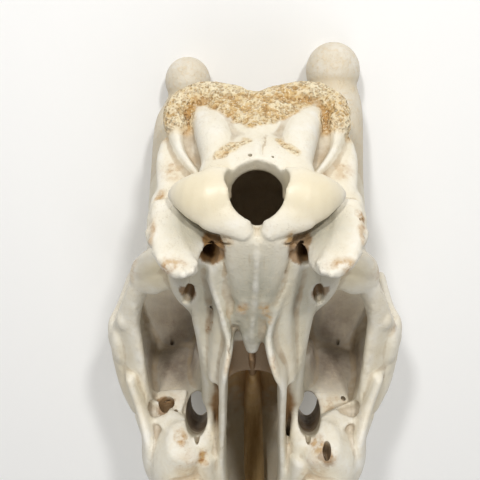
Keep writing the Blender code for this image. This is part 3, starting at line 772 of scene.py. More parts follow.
def small_holes():
    """The holes for nerves and vessels: a short slim loft along each one's way into the bone."""
    holes = {True: [], False: []}
    for spot, way, radius, depth, paired in HOLES:
        spot, way = np.asarray(spot, float), np.asarray(way, float)
        way = way / np.linalg.norm(way)
        outer = (*(spot - way * 6), radius, radius * 0.8)
        rows = [outer, (*(spot + way * depth), radius * 0.7, radius * 0.6)]
        holes[paired].append(loft(rows, side=(0.3, 0.5, 0.8), cap=2, around=14))
    slits = [
        loft([(51, 99, -22, 3, 8), (47, 121, 3, 2, 6)], side=(1, -0.3, 0), cap=1),
        loft([(47, 228, -60, 2, 8), (46, 262, -30, 2.6, 9), (47, 276, -8, 2, 6)], side=OUT, cap=1),
        loft([(56, 45, 60, 0.5, 4), (49, 47, 46, 0.7, 4), (44, 49, 37, 0.5, 3)], side=OUT, cap=1),
    ]
    pockets = [
        loft([(75.5, 252, 5, 7.6, 8.4), (75, 268, 5, 7.2, 8.2), (73, 288, 4, 5, 6)], side=OUT, cap=2),
        loft([(-60.5, 250, -47, 3.6, 8), (-60.5, 262, -46, 3.6, 8), (-60, 282, -42, 3, 6)], side=OUT, cap=2),
    ]
    return both(*holes[True], *slits) + holes[False] + pockets


# Where a nerve or vessel enters the bone: (spot, way in, radius, depth, on both sides) in millimetres.
HOLES = [
    ((50, 408, -2), (-0.9, -0.3, 0.1), 4.0, 16, True),
    ((27, 372, -52), (0.2, -0.4, 1), 2.2, 8, True),
    ((38, 232, 132), (0.1, 0.3, -1), 2.6, 14, True),
    ((44, 190, 10), (-0.9, 0.2, 0.3), 2.6, 10, True),
    ((45, 262, 26), (-0.9, 0.4, 0.1), 2.2, 9, True),
    ((77, 280, 81), (0.1, 1, 0.1), 2.4, 14, True),
    ((84, 262, 50), (-0.2, 1, 0.1), 1.6, 14, True),
    ((76, 74, 20), (-1, 0.2, 0.1), 4.5, 20, True),
    ((20, 52, -18), (0.5, 0.5, 0.8), 2.0, 9, True),
    ((4.8, 15, 32), (-0.2, 1, 0.1), 2.0, 9, False),
    ((-10.9, 15, 30.7), (0.1, 1, 0.2), 1.3, 7, False),
    ((66, 264, -5), (0, 1, 0.3), 2.4, 10, False),
    ((-79, 276, 16), (0, 1, 0.3), 3.0, 12, False),
    ((31, 128, -9), (0, 0.3, 1), 1.6, 8, False),
    ((-73, 47, 2), (0.8, 0.5, 0.1), 1.6, 9, False),
    ((-70, 46, 0), (0.8, 0.5, 0.1), 1.4, 9, False),
]


def lattice(cell, seed):
    """A repeatable number from 0 to 1 for each whole-number cell: its parts times big primes, scrambled."""
    mixed = cell[..., 0] * 374761393 + cell[..., 1] * 668265263 + cell[..., 2] * 1442695041 + seed * 97471
    mixed = (((mixed & 0xFFFFFFFF) ^ ((mixed & 0xFFFFFFFF) >> 13)) * 1274126177) & 0xFFFFFFFF
    return ((mixed ^ (mixed >> 16)) & 0xFFFF) / 65535.0


def noise(points, size, seed=0):
    """Value noise from 0 to 1: the numbers at a cell's corners, blended by smooth steps of the place."""
    place = points / size
    corner = np.floor(place).astype(np.int64)
    t = place - corner
    t = t**3 * (t * (6 * t - 15) + 10)
    total = np.zeros(len(points))
    for step in np.ndindex(2, 2, 2):
        weight = np.prod(np.where(step, t, 1 - t), axis=1)
        total += weight * lattice(corner + step, seed)
    return total


def rough(points, size, seed=0, octaves=3):
    """Noise of several sizes from -1 to 1, each half the size and half the height of the one before."""
    total, height = np.zeros(len(points)), 1.0
    for octave in range(octaves):
        total += height * (2 * noise(points, size / 2**octave, seed + octave) - 1)
        height /= 2
    return total / (2 - 2 * height)


def wandering(points, reach, size, seed):
    """Points pushed about by noise, so that what is drawn from them has a ragged edge."""
    return points + reach * np.stack([rough(points, size, seed + k, 3) for k in range(3)], -1)


def cells(points, size, seed=0):
    """How far, over the size of a cell, the nearest of a set of points is that has one point in each cell."""
    place = points / size
    corner = np.floor(place).astype(np.int64)
    nearest = np.full(len(points), 9.0)
    for step in np.ndindex(3, 3, 3):
        cell = corner + np.array(step) - 1
        spot = cell + np.stack([lattice(cell, seed + k) for k in range(3)], -1)
        nearest = np.minimum(nearest, ((place - spot) ** 2).sum(1))
    return np.sqrt(nearest)


def ramp(low, high, value):
    """A smooth step from 0 at low to 1 at high; low may be the larger."""
    t = np.clip((value - low) / (high - low), 0, 1)
    return t * t * (3 - 2 * t)


def folded(points):
    """The points of both sides brought to the left."""
    return np.column_stack([np.abs(points[:, 0]), points[:, 1:]])


def patch(points, centre, radii):
    """1 in the middle of an ellipsoid, falling smoothly to 0 at its edge."""
    return ramp(1, 0.3, np.sqrt((((points - np.asarray(centre, float)) / radii) ** 2).sum(1)))


def from_path(points, path, reach=12.0):
    """How far each point is from a path of straight runs, up to a reach; the points beyond it are skipped."""
    path = np.asarray(path, float)
    near = ((points > path.min(0) - reach) & (points < path.max(0) + reach)).all(1)
    close, nearest = points[near], np.full(len(points), 1e9)
    gap = np.full(len(close), 1e9)
    for start, end in zip(path[:-1], path[1:]):
        run = end - start
        t = np.clip((close - start) @ run / (run @ run), 0, 1)
        gap = np.minimum(gap, ((close - start - t[:, None] * run) ** 2).sum(1))
    nearest[near] = np.sqrt(gap)
    return nearest


def sponge(points):
    """Where the bone is open and spongy: the band of the nape crest with its V, and two patches under it."""
    q = wandering(points, 4.5, 10, 40)
    w, a, h = np.abs(q[:, 0]), q[:, 1], q[:, 2]
    band = ramp(-2, 2.5, h - 66 - 0.95 * w) * ramp(46, 38, a)
    sides = ramp(44, 49, w) * ramp(78, 88, h) * ramp(50, 42, a)
    left = ramp(5.5, 2.5, from_path(q, [(25, 18, 36), (16, 18, 45), (8, 19, 51)]))
    right = ramp(5, 2.5, from_path(q, [(-16, 20, 52), (-20, 19.5, 47), (-25, 19, 40)]))
    below = ramp(136, 130, h)
    return np.clip(np.maximum.reduce([band * below, sides * below, 0.85 * left, 0.85 * right]), 0, 1)


# Ridges (height over 0) and furrows (under 0): (path, half width, height, side), in millimetres. Side is 1 on
# the left, -1 on the right and 0 on both; the paths are all given as if on the left.
LINES = [
    ([(66, 44, 92), (62, 46, 66), (52, 46, 50), (44, 44, 38)], 3.4, -1.6, 0),
    ([(63, 48, 66), (55, 50, 50), (47, 48, 36)], 1.3, -1.2, 0),
    ([(58, 33, 76), (50, 34, 58), (43, 36, 42), (41, 38, 30)], 2.4, 0.9, 0),
    ([(24, 64, -12), (22, 92, -16), (16, 116, -19), (10, 138, -23)], 2.2, -1.3, 0),
    ([(0, 50, -21), (0.5, 112, -23), (0, 145, -22)], 1.8, 0.9, 0),
    ([(7.5, 107, -22), (8, 118, -22)], 4.0, 1.3, 0),
    ([(12, 120, -22), (6, 145, -22)], 2.0, -0.6, 0),
    ([(6.4, 21, 62), (4.9, 17, 46), (3.4, 15, 33)], 1.4, -1.2, -1),
    ([(3, 22, 62), (1, 16, 46), (0, 14, 34)], 2.6, 0.8, 0),
    ([(15, 141, -18), (15.5, 144, -28), (16.5, 150, -38)], 1.3, -1.4, 1),
    ([(112, 178, 20), (118, 206, 26), (117, 236, 22), (106, 262, 12)], 3.0, 0.9, 0),
    ([(96, 150, 22), (104, 190, 26), (106, 230, 22), (100, 258, 12)], 3.4, -1.2, 0),
    ([(92, 150, 12), (92, 200, 6), (92, 240, 4), (90, 264, -4)], 2.2, 0.9, 0),
    ([(46, 86, 8), (66, 88, 12), (86, 100, 16)], 2.6, 0.9, 0),
    ([(52, 106, 8), (72, 110, 9), (86, 120, 12)], 4.0, -0.9, 0),
    ([(34, 112, -10), (38, 150, -12), (38, 190, -14)], 1.6, 0.8, 0),
    ([(88, 276, -20), (88, 300, -38), (80, 340, -42), (66, 374, -40)], 3.0, 1.2, 0),
    ([(59, 262, -20), (57, 262, -36), (54, 262, -48)], 1.8, 1.2, 0),
    ([(50, 262, -24), (50, 262, -40)], 1.6, -1.3, 0),
    ([(12, 150, 118), (40, 158, 122), (78, 172, 118)], 1.4, -0.7, 0),
    ([(30, 318, 118), (31, 370, 92), (27, 430, 56)], 1.4, -0.8, 0),
    ([(104, 296, 10), (92, 306, 40), (84, 318, 78)], 1.4, -0.8, 0),
    ([(0, 335, -50), (0, 430, -54), (0, 530, -60)], 1.3, -0.9, 0),
    ([(2, 400, -52), (22, 396, -52), (40, 388, -56)], 1.3, -0.7, 0),
    ([(0, 296, 136), (0, 350, 108), (0, 440, 52)], 1.3, -0.8, 0),
    ([(76, 66, 70), (80, 90, 66), (84, 120, 60)], 2.4, 0.8, 0),
]


def relief(points):
    """How far the surface moves out along its normal, in millimetres, for the lines, grain and pits."""
    on_knobs = ramp(118, 132, points[:, 2]) * ramp(190, 170, points[:, 1])
    out = (0.30 - 0.18 * on_knobs) * rough(points, 26, 1) + 0.12 * rough(points, 7, 5, 2)
    open_bone = sponge(points)
    pits = 0.8 * ramp(0.6, 0.2, cells(points, 2.8, 3)) + 0.5 * ramp(0.6, 0.2, cells(points, 5.4, 9))
    out += open_bone * (0.7 - 1.1 * pits + 1.3 * rough(points, 11, 12))
    bent, mirrored = wandering(points, 2.4, 8, 60), wandering(folded(points), 2.4, 8, 60)
    for path, width, height, side in LINES:
        gap = from_path(mirrored if side == 0 else bent * (side, 1, 1), path)
        out += height * np.exp(-((gap / width) ** 2))
    both_sides = folded(points)
    ends = patch(both_sides, (54, 50, -42), (20, 10, 14)) + patch(both_sides, (73, 50, 4), (9, 12, 34))
    out += ends * 0.9 * rough(points, 5, 20)
    muscle = patch(both_sides, (40, 34, 88), (22, 14, 26)) + patch(both_sides, (84, 300, -20), (22, 40, 30))
    return out + muscle * 0.3 * rough(points * (1, 1, 0.35), 3.6, 24)


# Where the bone is stained ochre: (spot, radii, strength, side), in millimetres, with the sides as in LINES.
OCHRE = [
    ((24, 48, -17), (7, 10, 8), 1.0, -1), ((20, 48, -19), (5, 8, 7), 0.6, 1),
    ((0, 35, -20), (9, 5, 5), 0.7, 0),
    ((8, 113, -24), (6, 9, 6), 0.9, 0), ((11, 122, -23), (4, 8, 5), 0.9, -1),
    ((72, 47, 2), (5, 8, 8), 1.0, -1), ((68, 50, 26), (5, 8, 6), 0.9, 1), ((72, 47, -12), (4, 7, 16), 0.6, 0),
    ((60, 50, -40), (16, 9, 7), 0.8, 0),
    ((59, 262, -35), (6, 7, 9), 0.9, 1), ((42, 274, -45), (6, 7, 9), 1.0, 1),
    ((56, 272, -40), (12, 10, 14), 0.3, 1), ((38, 275, -30), (8, 8, 9), 1.0, -1),
    ((54, 264, -40), (10, 8, 9), 0.9, -1), ((64, 266, -52), (9, 9, 8), 0.6, -1),
    ((110, 186, 22), (6, 9, 8), 0.5, -1),
    ((92, 112, 16), (9, 14, 7), 0.35, 0),
    ((52, 300, -52), (14, 60, 9), 0.35, 0),
    ((17, 630, -62), (14, 16, 10), 0.5, 0),
    ((60, 48, 48), (9, 9, 14), 0.6, 0), ((48, 46, 38), (8, 9, 9), 0.7, 0),
    ((52, 52, 52), (10, 12, 20), 0.5, 0),
    ((17, 156, -40), (4, 12, 8), 0.4, 0),
    ((72, 276, 8), (16, 12, 12), 0.4, 0),
]

# Dark brown lines and slits: (path, half width, side), in millimetres, with the sides as in LINES.
STREAKS = [
    ([(63, 48, 66), (55, 50, 50), (47, 48, 36)], 1.1, 0),
    ([(30.5, 130, -10), (31, 140, -12), (33, 151, -12)], 3.2, 1),
    ([(15, 141, -18), (15.5, 144, -28), (16.5, 150, -38)], 1.3, 1),
    ([(71, 46, 0), (75, 48, 4)], 2.0, -1),
    ([(6.4, 21, 62), (4.9, 17, 46)], 0.8, -1),
    ([(24, 64, -12), (22, 92, -16)], 0.8, -1),
    ([(0, 300, 60), (0, 340, 76), (0, 420, 52)], 0.9, 0),
]

# The hollows that are brown inside, partly a brown stain and partly painted shade: (w, a, h, radius) along
# each one's middle in millimetres, then its strength, and its side as in LINES.
BROWN = [
    ([(0, 60, 26, 30), (0, 72, 32, 40), (0, 120, 46, 46), (0, 165, 54, 42)], 0.5, 0),
    ([(0, 196, -10, 22), (0, 212, -8, 26), (0, 240, -2, 36), (0, 285, 24, 42)], 1.0, 0),
    ([(31, 60, -14, 10), (34, 74, 2, 12), (37, 82, 18, 13)], 1.0, 0),
    ([(51, 106, -20, 6), (47, 121, 3, 7)], 0.9, 0),
    ([(49, 296, 12, 20), (51, 340, 60, 20), (52, 380, 100, 20)], 0.7, 0),
    ([(75, 278, 5, 10), (73, 288, 4, 9)], 1.0, 1),
    ([(60, 270, -46, 8), (60, 282, -43, 8)], 0.8, -1),
]


# The front of the nose, which is paler, in the same way.
AMBER = [(0, 275, 20, 36), (0, 325, 34, 44), (0, 400, 14, 34), (0, 440, 2, 27), (0, 490, -12, 18)]


def within(points, rows):
    """1 inside and on the wall of a hollow, 0 outside it, from the nearest of samples along its middle."""
    rows = smooth_rows(rows, 40)
    nearest = np.full(len(points), 9.0)
    for *spot, radius in rows:
        nearest = np.minimum(nearest, np.sqrt(((points - spot) ** 2).sum(1)) / radius)
    return ramp(1.1, 0.92, nearest)


def sided(points, mirrored, side):
    """The points as a list of marks wants them: both sides together, or turned so that its side is left."""
    return mirrored if side == 0 else points * (side, 1, 1)


def stains(points):
    """What the bone is like at each point, and where shade is painted on it, as masks from 0 to 1 by name."""
    wander = wandering(points, 3.5, 9, 80)
    mirrored = wandering(folded(points), 3.5, 9, 80)
    ochre, brown, streak = (np.zeros(len(points)) for _ in range(3))
    for spot, radii, strength, side in OCHRE:
        place = sided(wander, mirrored, side)
        ochre = np.maximum(ochre, strength * patch(place, spot, np.array(radii) * 1.25))
    for path, width, side in STREAKS:
        gap = from_path(sided(wander, mirrored, side), path)
        streak = np.maximum(streak, ramp(width * 1.5, width * 0.6, gap))
    for rows, strength, side in BROWN:
        brown = np.maximum(brown, strength * within(sided(wander, mirrored, side), rows))
    # Painted shade, olive-grey: the base of the skull, its sides, the wing plates and the hollows beside the
    # condyles, where little light reaches.
    sheltered = np.maximum.reduce([
        0.7 * patch(mirrored, (34, 120, 0), (40, 88, 40)),
        patch(mirrored, (0, 122, -20), (36, 90, 26)),
        0.9 * patch(mirrored, (42, 230, 20), (24, 96, 66)),
        0.8 * patch(mirrored, (46, 56, 0), (28, 28, 38)),
    ])
    # Painted shade, dark mauve: the eye sockets and the hollows behind them, above the level of the cheek bar.
    socket = np.maximum(
        patch(mirrored, (72, 258, 62), (58, 78, 62)), 0.9 * patch(mirrored, (56, 170, 44), (38, 64, 38))
    ) * ramp(8, 24, points[:, 2])
    even = folded(points)
    polish = np.maximum(
        ramp(62, 56, even[:, 0]) * patch(even, (34, 24, 2), (40, 26, 30)) * ramp(31, 22, even[:, 2]),
        patch(even, (74, 108, 6), (34, 26, 9)),
    )
    chalk = np.maximum.reduce([
        patch(mirrored, (60, 100, 70), (40, 60, 44)), patch(mirrored, (84, 296, -24), (34, 50, 44)),
        patch(mirrored, (34, 32, 76), (30, 16, 40)), 0.6 * patch(mirrored, (0, 200, 120), (120, 120, 30)),
    ])
    crown = ramp(-59, -63, points[:, 2]) * ramp(446, 440, points[:, 1]) * ramp(283, 288, points[:, 1])
    open_bone = sponge(points)
    return {
        "open_bone": open_bone,
        "ochre": np.clip(ochre, 0, 1),
        "brown": brown,
        "amber": within(mirrored, AMBER) * ramp(36, 31, even[:, 0]),
        "streak": streak,
        "sheltered": sheltered * (1 - polish) * (1 - open_bone),
        "socket": socket * (1 - open_bone),
        "polish": polish,
        "chalk": chalk * (1 - open_bone),
        "crown": crown * ramp(30, 34, even[:, 0]),
    }


def smoothed(spots, ends, rounds):
    """The points of a mesh after rounds in which each moves to the mean of those that it has an edge to."""
    count = len(spots)
    first, second = np.concatenate([ends[:, 0], ends[:, 1]]), np.concatenate([ends[:, 1], ends[:, 0]])
    share = 1 / np.maximum(np.bincount(first, minlength=count), 1)
    for _ in range(rounds):
        spots = np.stack([np.bincount(first, spots[second, k], count) * share for k in range(3)], -1)
    return spots


def weathered(item):
    """The whole skull with its relief pressed into it, and its stains, painted shade and hollows marked as
    attributes.
    """
    mesh = item.data
    count = len(mesh.vertices)
    spots, normals = np.empty(count * 3, np.float32), np.empty(count * 3, np.float32)
    mesh.vertices.foreach_get("co", spots)
    mesh.vertex_normals.foreach_get("vector", normals)
    spots, normals = (values.reshape(-1, 3).astype(float) for values in (spots, normals))
    points = spots / MM * (1, -1, 1)
    points = 2 * points - swayed(points)
    spots += normals * relief(points)[:, None] * MM
    ends = np.empty(len(mesh.edges) * 2, np.int32)
    mesh.edges.foreach_get("vertices", ends)
    ends = ends.reshape(-1, 2)
    close = smoothed(spots, ends, 10)
    broad = smoothed(close, ends, 50)
    masks = stains(points)
    # Dip and hollow say how far each point lies under the surface smoothed a little and a lot; the materials
    # paint shade in the dips and hollows and light on the ridges from them.
    masks["dip"] = 0.5 + 0.5 * np.tanh(((close - spots) * normals).sum(1) / MM / 0.35)
    masks["hollow"] = 0.5 + 0.5 * np.tanh(((broad - spots) * normals).sum(1) / MM / 2.2)
    mesh.vertices.foreach_set("co", spots.astype(np.float32).ravel())
    for name, values in masks.items():
        mesh.attributes.new(name, "FLOAT", "POINT").data.foreach_set("value", values.astype(np.float32))
    mesh.update()


class Wire:
    """A socket that takes part in sums: each operator adds the Math node for it."""

    def __init__(self, look, socket):
        self.look, self.socket = look, socket

    def sum(self, operation, first, second):
        return self.look.node("ShaderNodeMath", {"operation": operation}, {0: first, 1: second})

    def __add__(self, other):
        return self.sum("ADD", self, other)

    def __radd__(self, other):
        return self.sum("ADD", other, self)

    def __sub__(self, other):
        return self.sum("SUBTRACT", self, other)

    def __rsub__(self, other):
        return self.sum("SUBTRACT", other, self)

    def __mul__(self, other):
        return self.sum("MULTIPLY", self, other)

    def __rmul__(self, other):
        return self.sum("MULTIPLY", other, self)


class Look:
    """A material in the making: its nodes, and the one method that adds a node to them."""

    def __init__(self, name):
        self.material = bpy.data.materials.new(name)
        self.material.use_nodes = True
        self.nodes = self.material.node_tree.nodes
        self.links = self.material.node_tree.links
        self.shader = self.nodes["Principled BSDF"]
        self.place = self.node("ShaderNodeTexCoord", {}, {}, 3)

    def node(self, kind, settings, values, out=0):
        """A node of a type, with its settings made first, then the values or links of its sockets."""
        made = self.nodes.new(kind)
        for name, setting in settings.items():
            setattr(made, name, setting)
        for key, value in values.items():
            self.feed(made.inputs[key], value)
        return Wire(self, made.outputs[out])

    def feed(self, socket, value):
        """Links a wire to a socket, or sets its value."""
        if isinstance(value, Wire):
            self.links.new(value.socket, socket)
        else:
            socket.default_value = value

    def mask(self, name):
        return self.node("ShaderNodeAttribute", {"attribute_name": name}, {}, 2)

    def noise(self, scale, detail=3.0, where=None):
        values = {"Vector": where or self.place, "Scale": scale, "Detail": detail, "Roughness": 0.55}
        return self.node("ShaderNodeTexNoise", {}, values)

    def cells(self, scale, feature="F1", where=None):
        values = {"Vector": where or self.place, "Scale": scale}
        return self.node("ShaderNodeTexVoronoi", {"feature": feature}, values)

    def ramp(self, low, high, value):
        """0 at low to 1 at high, smoothly, whichever is the larger."""
        settings = {"interpolation_type": "SMOOTHSTEP"}
        values = {"Value": value, "From Min": min(low, high), "From Max": max(low, high)}
        values |= {"To Min": 0.0 if low < high else 1.0, "To Max": 1.0 if low < high else 0.0}
        return self.node("ShaderNodeMapRange", settings, values)

    def mix(self, share, first, second, blend="MIX"):
        """A colour that goes from the first to the second with the share."""
        settings = {"data_type": "RGBA", "blend_type": blend}
        first, second = (v if isinstance(v, Wire) else (*v, 1.0) for v in (first, second))
        return self.node("ShaderNodeMix", settings, {0: share, 6: first, 7: second}, 2)

    def stretched(self, scale):
        """Coordinates in skull axes, each divided by its scale, for a pattern that runs along the bone."""
        values = {"Vector": self.place, "Rotation": (math.radians(PITCH), 0, 0), "Scale": scale}
        return self.node("ShaderNodeMapping", {"vector_type": "TEXTURE"}, values)

    def finish(self, colour, roughness, height, depth):
        """Feeds the shader: its colour, its roughness, and a bump whose height is in steps of that depth."""
        bump = self.node("ShaderNodeBump", {}, {"Height": height, "Distance": depth, "Strength": 0.8})
        for name, value in (("Base Color", colour), ("Roughness", roughness), ("Normal", bump)):
            self.feed(self.shader.inputs[name], value)
        return self.material


# Colours of bone, linear, and of the shade and light painted on it.
IVORY = (0.745, 0.695, 0.575)
CREAM = (0.67, 0.58, 0.41)
# Chalky white; on the ridges it is painted light.
WHITE = (0.80, 0.785, 0.74)
HONEY = (0.66, 0.53, 0.34)
TAN = (0.47, 0.29, 0.115)
RUST = (0.30, 0.13, 0.035)
# Painted shade deep inside the brown hollows.
DEEP_SHADE = (0.075, 0.045, 0.02)
# The brown of the hollows, partly a stain and partly painted shade.
UMBER = (0.25, 0.135, 0.047)
AMBER_BROWN = (0.68, 0.47, 0.22)
PALE_BROWN = (0.50, 0.31, 0.12)
# Painted shade in small dips and creases.
DIP_SHADE = (0.36, 0.25, 0.13)
# Painted shade, olive-grey, under and beside the base of the skull.
OLIVE_SHADE = (0.36, 0.35, 0.28)
# Painted shade, dark mauve, in the eye sockets and the hollows behind them.
MAUVE_SHADE = (0.235, 0.182, 0.142)
# Painted shade in the recesses.
GREY_SHADE = (0.43, 0.40, 0.34)
ENAMEL = (0.70, 0.665, 0.57)
TOOTH_STAIN = (0.22, 0.13, 0.06)
SMOOTH_CREAM = (0.70, 0.615, 0.43)
PALE_GOLD = (0.71, 0.58, 0.35)
GOLD = (0.60, 0.40, 0.16)


# The last argument scales the shade painted in small dips and creases.
def bone_look(name, ground=IVORY, tint=CREAM, grain=1.0, speckle=0.0, crease_shade_share=1.0):
    """Dry bone: mottled, stained, finely pored, with painted shade in dips, recesses, sockets and shut-in
    parts, and painted light on ridges.

    The colour is built up in layers, each over the ones before it with its share.
    """
    look = Look(name)
    along = look.stretched((1.0, 4.5, 1.0))
    mottle = look.ramp(0.40, 0.66, look.noise(24, 4.0))
    blotch = look.ramp(0.42, 0.66, look.noise(70, 5.0))
    streak = look.noise(210, 4.0, along)
    fine = look.noise(640, 3.0)
    grit = look.ramp(0.50, 0.64, look.noise(330, 4.0))
    pits = look.ramp(0.48, 0.14, look.cells(430))
    holes = look.ramp(0.50, 0.18, look.cells(230))
    pores = look.ramp(0.22, 0.08, look.cells(700)) * look.ramp(0.46, 0.60, look.noise(48, 2.0))
    open_bone, polish, crown = look.mask("open_bone"), look.mask("polish"), look.mask("crown")
    dip, hollow = look.mask("dip"), look.mask("hollow")
    # Painted shade: deep is where the surface lies well under its broad shape; the recesses there are painted
    # grey, and dark brown in the brown hollows.
    deep = look.ramp(0.60, 0.95, hollow)
    # Painted light: the ridges that stand out from the broad shape are painted paler.
    ridge_light = look.ramp(0.40, 0.10, hollow) * (0.4 + 0.6 * blotch)
    # Painted shade: the small dips and creases are painted darker.
    crease_shade = look.ramp(0.78, 1.0, dip)
    dry = 1 - polish

    stained = look.mask("ochre") * (0.15 + 0.85 * look.ramp(0.36, 0.60, look.noise(150, 5.0)))
    gold = look.mix(look.ramp(0.40, 0.62, look.noise(55, 3.0)), PALE_GOLD, GOLD)
    lengthwise = look.ramp(0.38, 0.66, look.noise(90, 4.0, look.stretched((1.0, 8.0, 2.0))))
    layers = [
        (mottle * 0.55, tint),
        (look.mask("chalk") * (0.35 + 0.5 * blotch), WHITE),
        # Painted shade: olive-grey on the shut-in parts of the base, and dark mauve in the eye sockets.
        (look.mask("sheltered") * (0.75 + 0.2 * blotch), OLIVE_SHADE),
        (look.mask("socket") * (0.86 + 0.12 * blotch), MAUVE_SHADE),
        (polish * (0.75 + 0.2 * blotch), SMOOTH_CREAM),
        # Painted light on the ridges.
        (ridge_light * 0.5 * dry, WHITE),
        (look.ramp(0.35, 0.75, streak) * 0.18, tint),
        (grit * (0.10 + speckle), HONEY),
        # Painted shade in the recesses.
        (deep * (0.25 + 0.35 * blotch), GREY_SHADE),
        (stained, TAN),
        (stained * look.ramp(0.52, 0.66, look.noise(260, 3.0)) * 0.8, RUST),
        # Painted shade in the small dips and creases.
        (crease_shade * (0.30 + 0.3 * blotch) * crease_shade_share, DIP_SHADE),
        (open_bone * 0.92, gold),
        # The spongy bone: painted light on its raised points and painted shade in its dips.
        (open_bone * look.ramp(0.26, 0.05, dip) * 0.45, (0.82, 0.75, 0.57)),
        (open_bone * look.ramp(0.60, 0.98, dip) * 0.65, (0.42, 0.22, 0.06)),
        (open_bone * pits * 0.55, (0.45, 0.24, 0.07)),
        (open_bone * holes * 0.4, (0.38, 0.20, 0.06)),
        (open_bone * look.ramp(0.56, 0.64, fine) * 0.6, (0.86, 0.79, 0.60)),
        (pores * dry * 0.40, (0.34, 0.23, 0.12)),
        (look.mask("streak") * (0.45 + 0.5 * grit), (0.22, 0.12, 0.045)),
        # The brown of the hollows, partly a stain and partly painted shade, darkest where they are deep.
        (look.mask("brown") * (0.80 + 0.20 * mottle), UMBER),
        # Painted shade deep inside the brown hollows.
        (look.mask("brown") * deep * 0.25, DEEP_SHADE),
        (look.mask("amber") * 0.95, look.mix(lengthwise, AMBER_BROWN, PALE_BROWN)),
        (crown * 0.8, look.mix(look.ramp(0.45, 0.8, dip), ENAMEL, TOOTH_STAIN)),
    ]
    colour = ground
    for share, paint in layers:
        colour = look.mix(share, colour, paint)

    height = 0.35 * fine * grain + 0.35 * streak * grain + 0.15 * grit * grain - 0.6 * pores
    height = height * (1 - 0.8 * polish) - open_bone * (1.5 * pits + 2.4 * holes) + open_bone * fine * 1.4
    rough_bone = 0.48 + 0.18 * blotch + 0.16 * open_bone - 0.13 * polish - 0.2 * crown
    return look.finish(colour, rough_bone, height, 0.0007)


# The slot of each bone that isn't plain bone, by the first word of its name.
SLOTS = {
    "ossicone": "horn_bone",
    "occipital": "occiput_bone",
    "maxilla": "jaw_bone_and_teeth",
    "vomer": "inner_bone",
}


def main():
    """Makes the skull, parts it into bones, gives each its finish, and lays it on the floor."""
    looks = {
        "bone": bone_look("bone"),
        "occiput_bone": bone_look("occiput_bone", IVORY, (0.69, 0.62, 0.47)),
        "horn_bone": bone_look("horn_bone", (0.66, 0.59, 0.46), (0.60, 0.50, 0.345), 1.9, 0.35, 0.2),
        "jaw_bone_and_teeth": bone_look("jaw_bone_and_teeth", (0.735, 0.69, 0.57), (0.66, 0.57, 0.41)),
        "inner_bone": bone_look("inner_bone", (0.44, 0.27, 0.115), (0.33, 0.19, 0.075)),
    }
    whole = whole_skull()
    weathered(whole)
    blade = settled(fused("vomer", vomer(), 1.0, 2), "vomer_piece")
    weathered(blade)
    for item in [*parted(whole), blade]:
        node = item.name.removesuffix("_piece")
        slot = SLOTS.get(node.split("_")[0], "bone")
        lay_down(item, looks[slot])
        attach(item, "root")
        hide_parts(node)


def parted(whole):
    """Each bone cut out of the skull in turn, with a hair's breadth left between it and its neighbours."""
    found = []
    for name, region in [*regions(), ("braincase", None)]:
        piece = link(f"{name}_piece", whole.data.copy())
        if region:
            boolean(piece, raw("inside", [region]), "INTERSECT")
            boolean(whole, raw("outside", [region], SEAM), "DIFFERENCE")
            whole = settled(whole, "skull")
        found.append(settled(piece, f"{name}_piece"))
    bpy.data.objects.remove(whole)
    return found


def marked(mesh):
    """Gives each vertex that a cut made, which has no marks, those of the nearest vertex that has them."""
    count = len(mesh.vertices)
    spots, hollow = np.empty(count * 3, np.float32), np.empty(count, np.float32)
    mesh.vertices.foreach_get("co", spots)
    spots = spots.reshape(-1, 3)
    mesh.attributes["hollow"].data.foreach_get("value", hollow)
    bare = np.flatnonzero(hollow < 1e-4)
    known = np.flatnonzero(hollow >= 1e-4)
    if not len(bare):
        return
    tree = KDTree(len(known))
    for place, index in enumerate(known):
        tree.insert(spots[index], place)
    tree.balance()
    source = known[[tree.find(spots[index])[1] for index in bare]]
    for layer in mesh.attributes:
        if layer.domain == "POINT" and layer.data_type == "FLOAT":
            values = np.empty(count, np.float32)
            layer.data.foreach_get("value", values)
            values[bare] = values[source]
            layer.data.foreach_set("value", values)


def lay_down(item, material):
    """Keeps the largest closed surface of a bone, and places it in the part's frame with its material."""
    largest(item.data)
    mesh = item.data
    marked(mesh)
    mesh.transform(LYING)
    mesh.materials.clear()
    mesh.materials.append(material)
    mesh.shade_smooth()
    mesh.set_sharp_from_angle(angle=math.radians(60))


# The camera, in metres, with x to the skull's left, y backwards and z up: how far it is from the point that it
# is aimed at, where that point is, how far it is lowered, and then its lens, sensor and shift to the side.
DISTANCE = 0.6
AIM = (0, -0.025, 0)
LOWERED = 0.02867
FOCAL, SENSOR = 67.5, 36
SIDEWAYS = -17 / 480


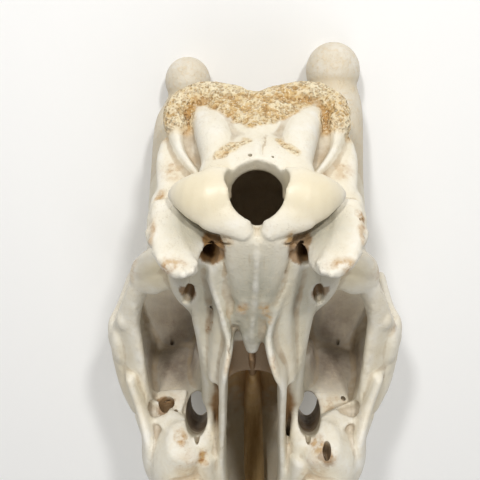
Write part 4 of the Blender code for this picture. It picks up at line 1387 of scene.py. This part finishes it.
def camera():
    """A camera that looks down at the back of the skull at 45 degrees, as the photograph does."""
    diagonal = math.sqrt(0.5)
    ahead, up = Vector((0, -diagonal, diagonal)), Vector((0, diagonal, diagonal))
    spot = Vector(AIM) - DISTANCE * ahead - LOWERED * up
    turned = Matrix((up.cross(-ahead), up, -ahead)).transposed().to_4x4()
    item = bpy.data.objects.new("camera", bpy.data.cameras.new("camera"))
    item.data.lens, item.data.sensor_width = FOCAL, SENSOR
    item.data.shift_x = SIDEWAYS
    item.data.clip_start = 0.02
    item.matrix_world = LYING @ Matrix.Translation(spot) @ turned
    bpy.context.scene.collection.objects.link(item)
    bpy.context.scene.camera = item


# The light: the colour of the keys and the sky, the sky's strength, the watts of each key and of the fill,
# and half the floor's side in metres.
WARM = (1, 0.99, 0.97)
SKY = 0.27
KEY, FILL = 20.5, 7
FLOOR = 6.0


def lamp(name, spot, target, size, power, colour=(1, 1, 1)):
    """A square area light at a spot, pointed at a target, in metres and watts."""
    light = bpy.data.lights.new(name, "AREA")
    light.size, light.energy, light.color = size, power, colour
    item = bpy.data.objects.new(name, light)
    item.location = spot
    item.rotation_euler = (Vector(target) - Vector(spot)).to_track_quat("-Z", "Y").to_euler()
    bpy.context.scene.collection.objects.link(item)


def studio():
    """A pale floor, an even sky, two key lights side by side over the back of the skull, and a weak fill."""
    world = bpy.data.worlds.new("studio")
    world.use_nodes = True
    sky = world.node_tree.nodes["Background"].inputs
    sky["Color"].default_value = (*WARM, 1)
    sky["Strength"].default_value = SKY
    bpy.context.scene.world = world
    bpy.context.scene.view_settings.view_transform = "Standard"
    for side in (-1, 1):
        lamp(f"key_{side}", (side * 0.42 + 0.05, 1.75, 1.6), (0, 0.2, 0.12), 0.16, KEY, WARM)
    lamp("fill", (0.2, -0.5, 1.9), (0, -0.1, 0.1), 1.2, FILL)
    mesh = bpy.data.meshes.new("floor")
    corners = [(x * FLOOR, y * FLOOR, -0.5 * MM) for x, y in ((-1, -1), (1, -1), (1, 1), (-1, 1))]
    mesh.from_pydata(corners, [], [(0, 1, 2, 3)])
    floor = bpy.data.objects.new("floor", mesh)
    bpy.context.scene.collection.objects.link(floor)
    look = Look("pale_floor")
    colour = look.mix(look.noise(3, 2.0) * 0.2, (0.95, 0.95, 0.945), (0.93, 0.93, 0.925))
    roughness = 0.85 + 0.05 * look.noise(5, 2.0)
    mesh.materials.append(look.finish(colour, roughness, look.noise(900, 2.0), 0.00005))


work = bpy.data.collections.new("making")
bpy.context.scene.collection.children.link(work)
main()
camera()
studio()
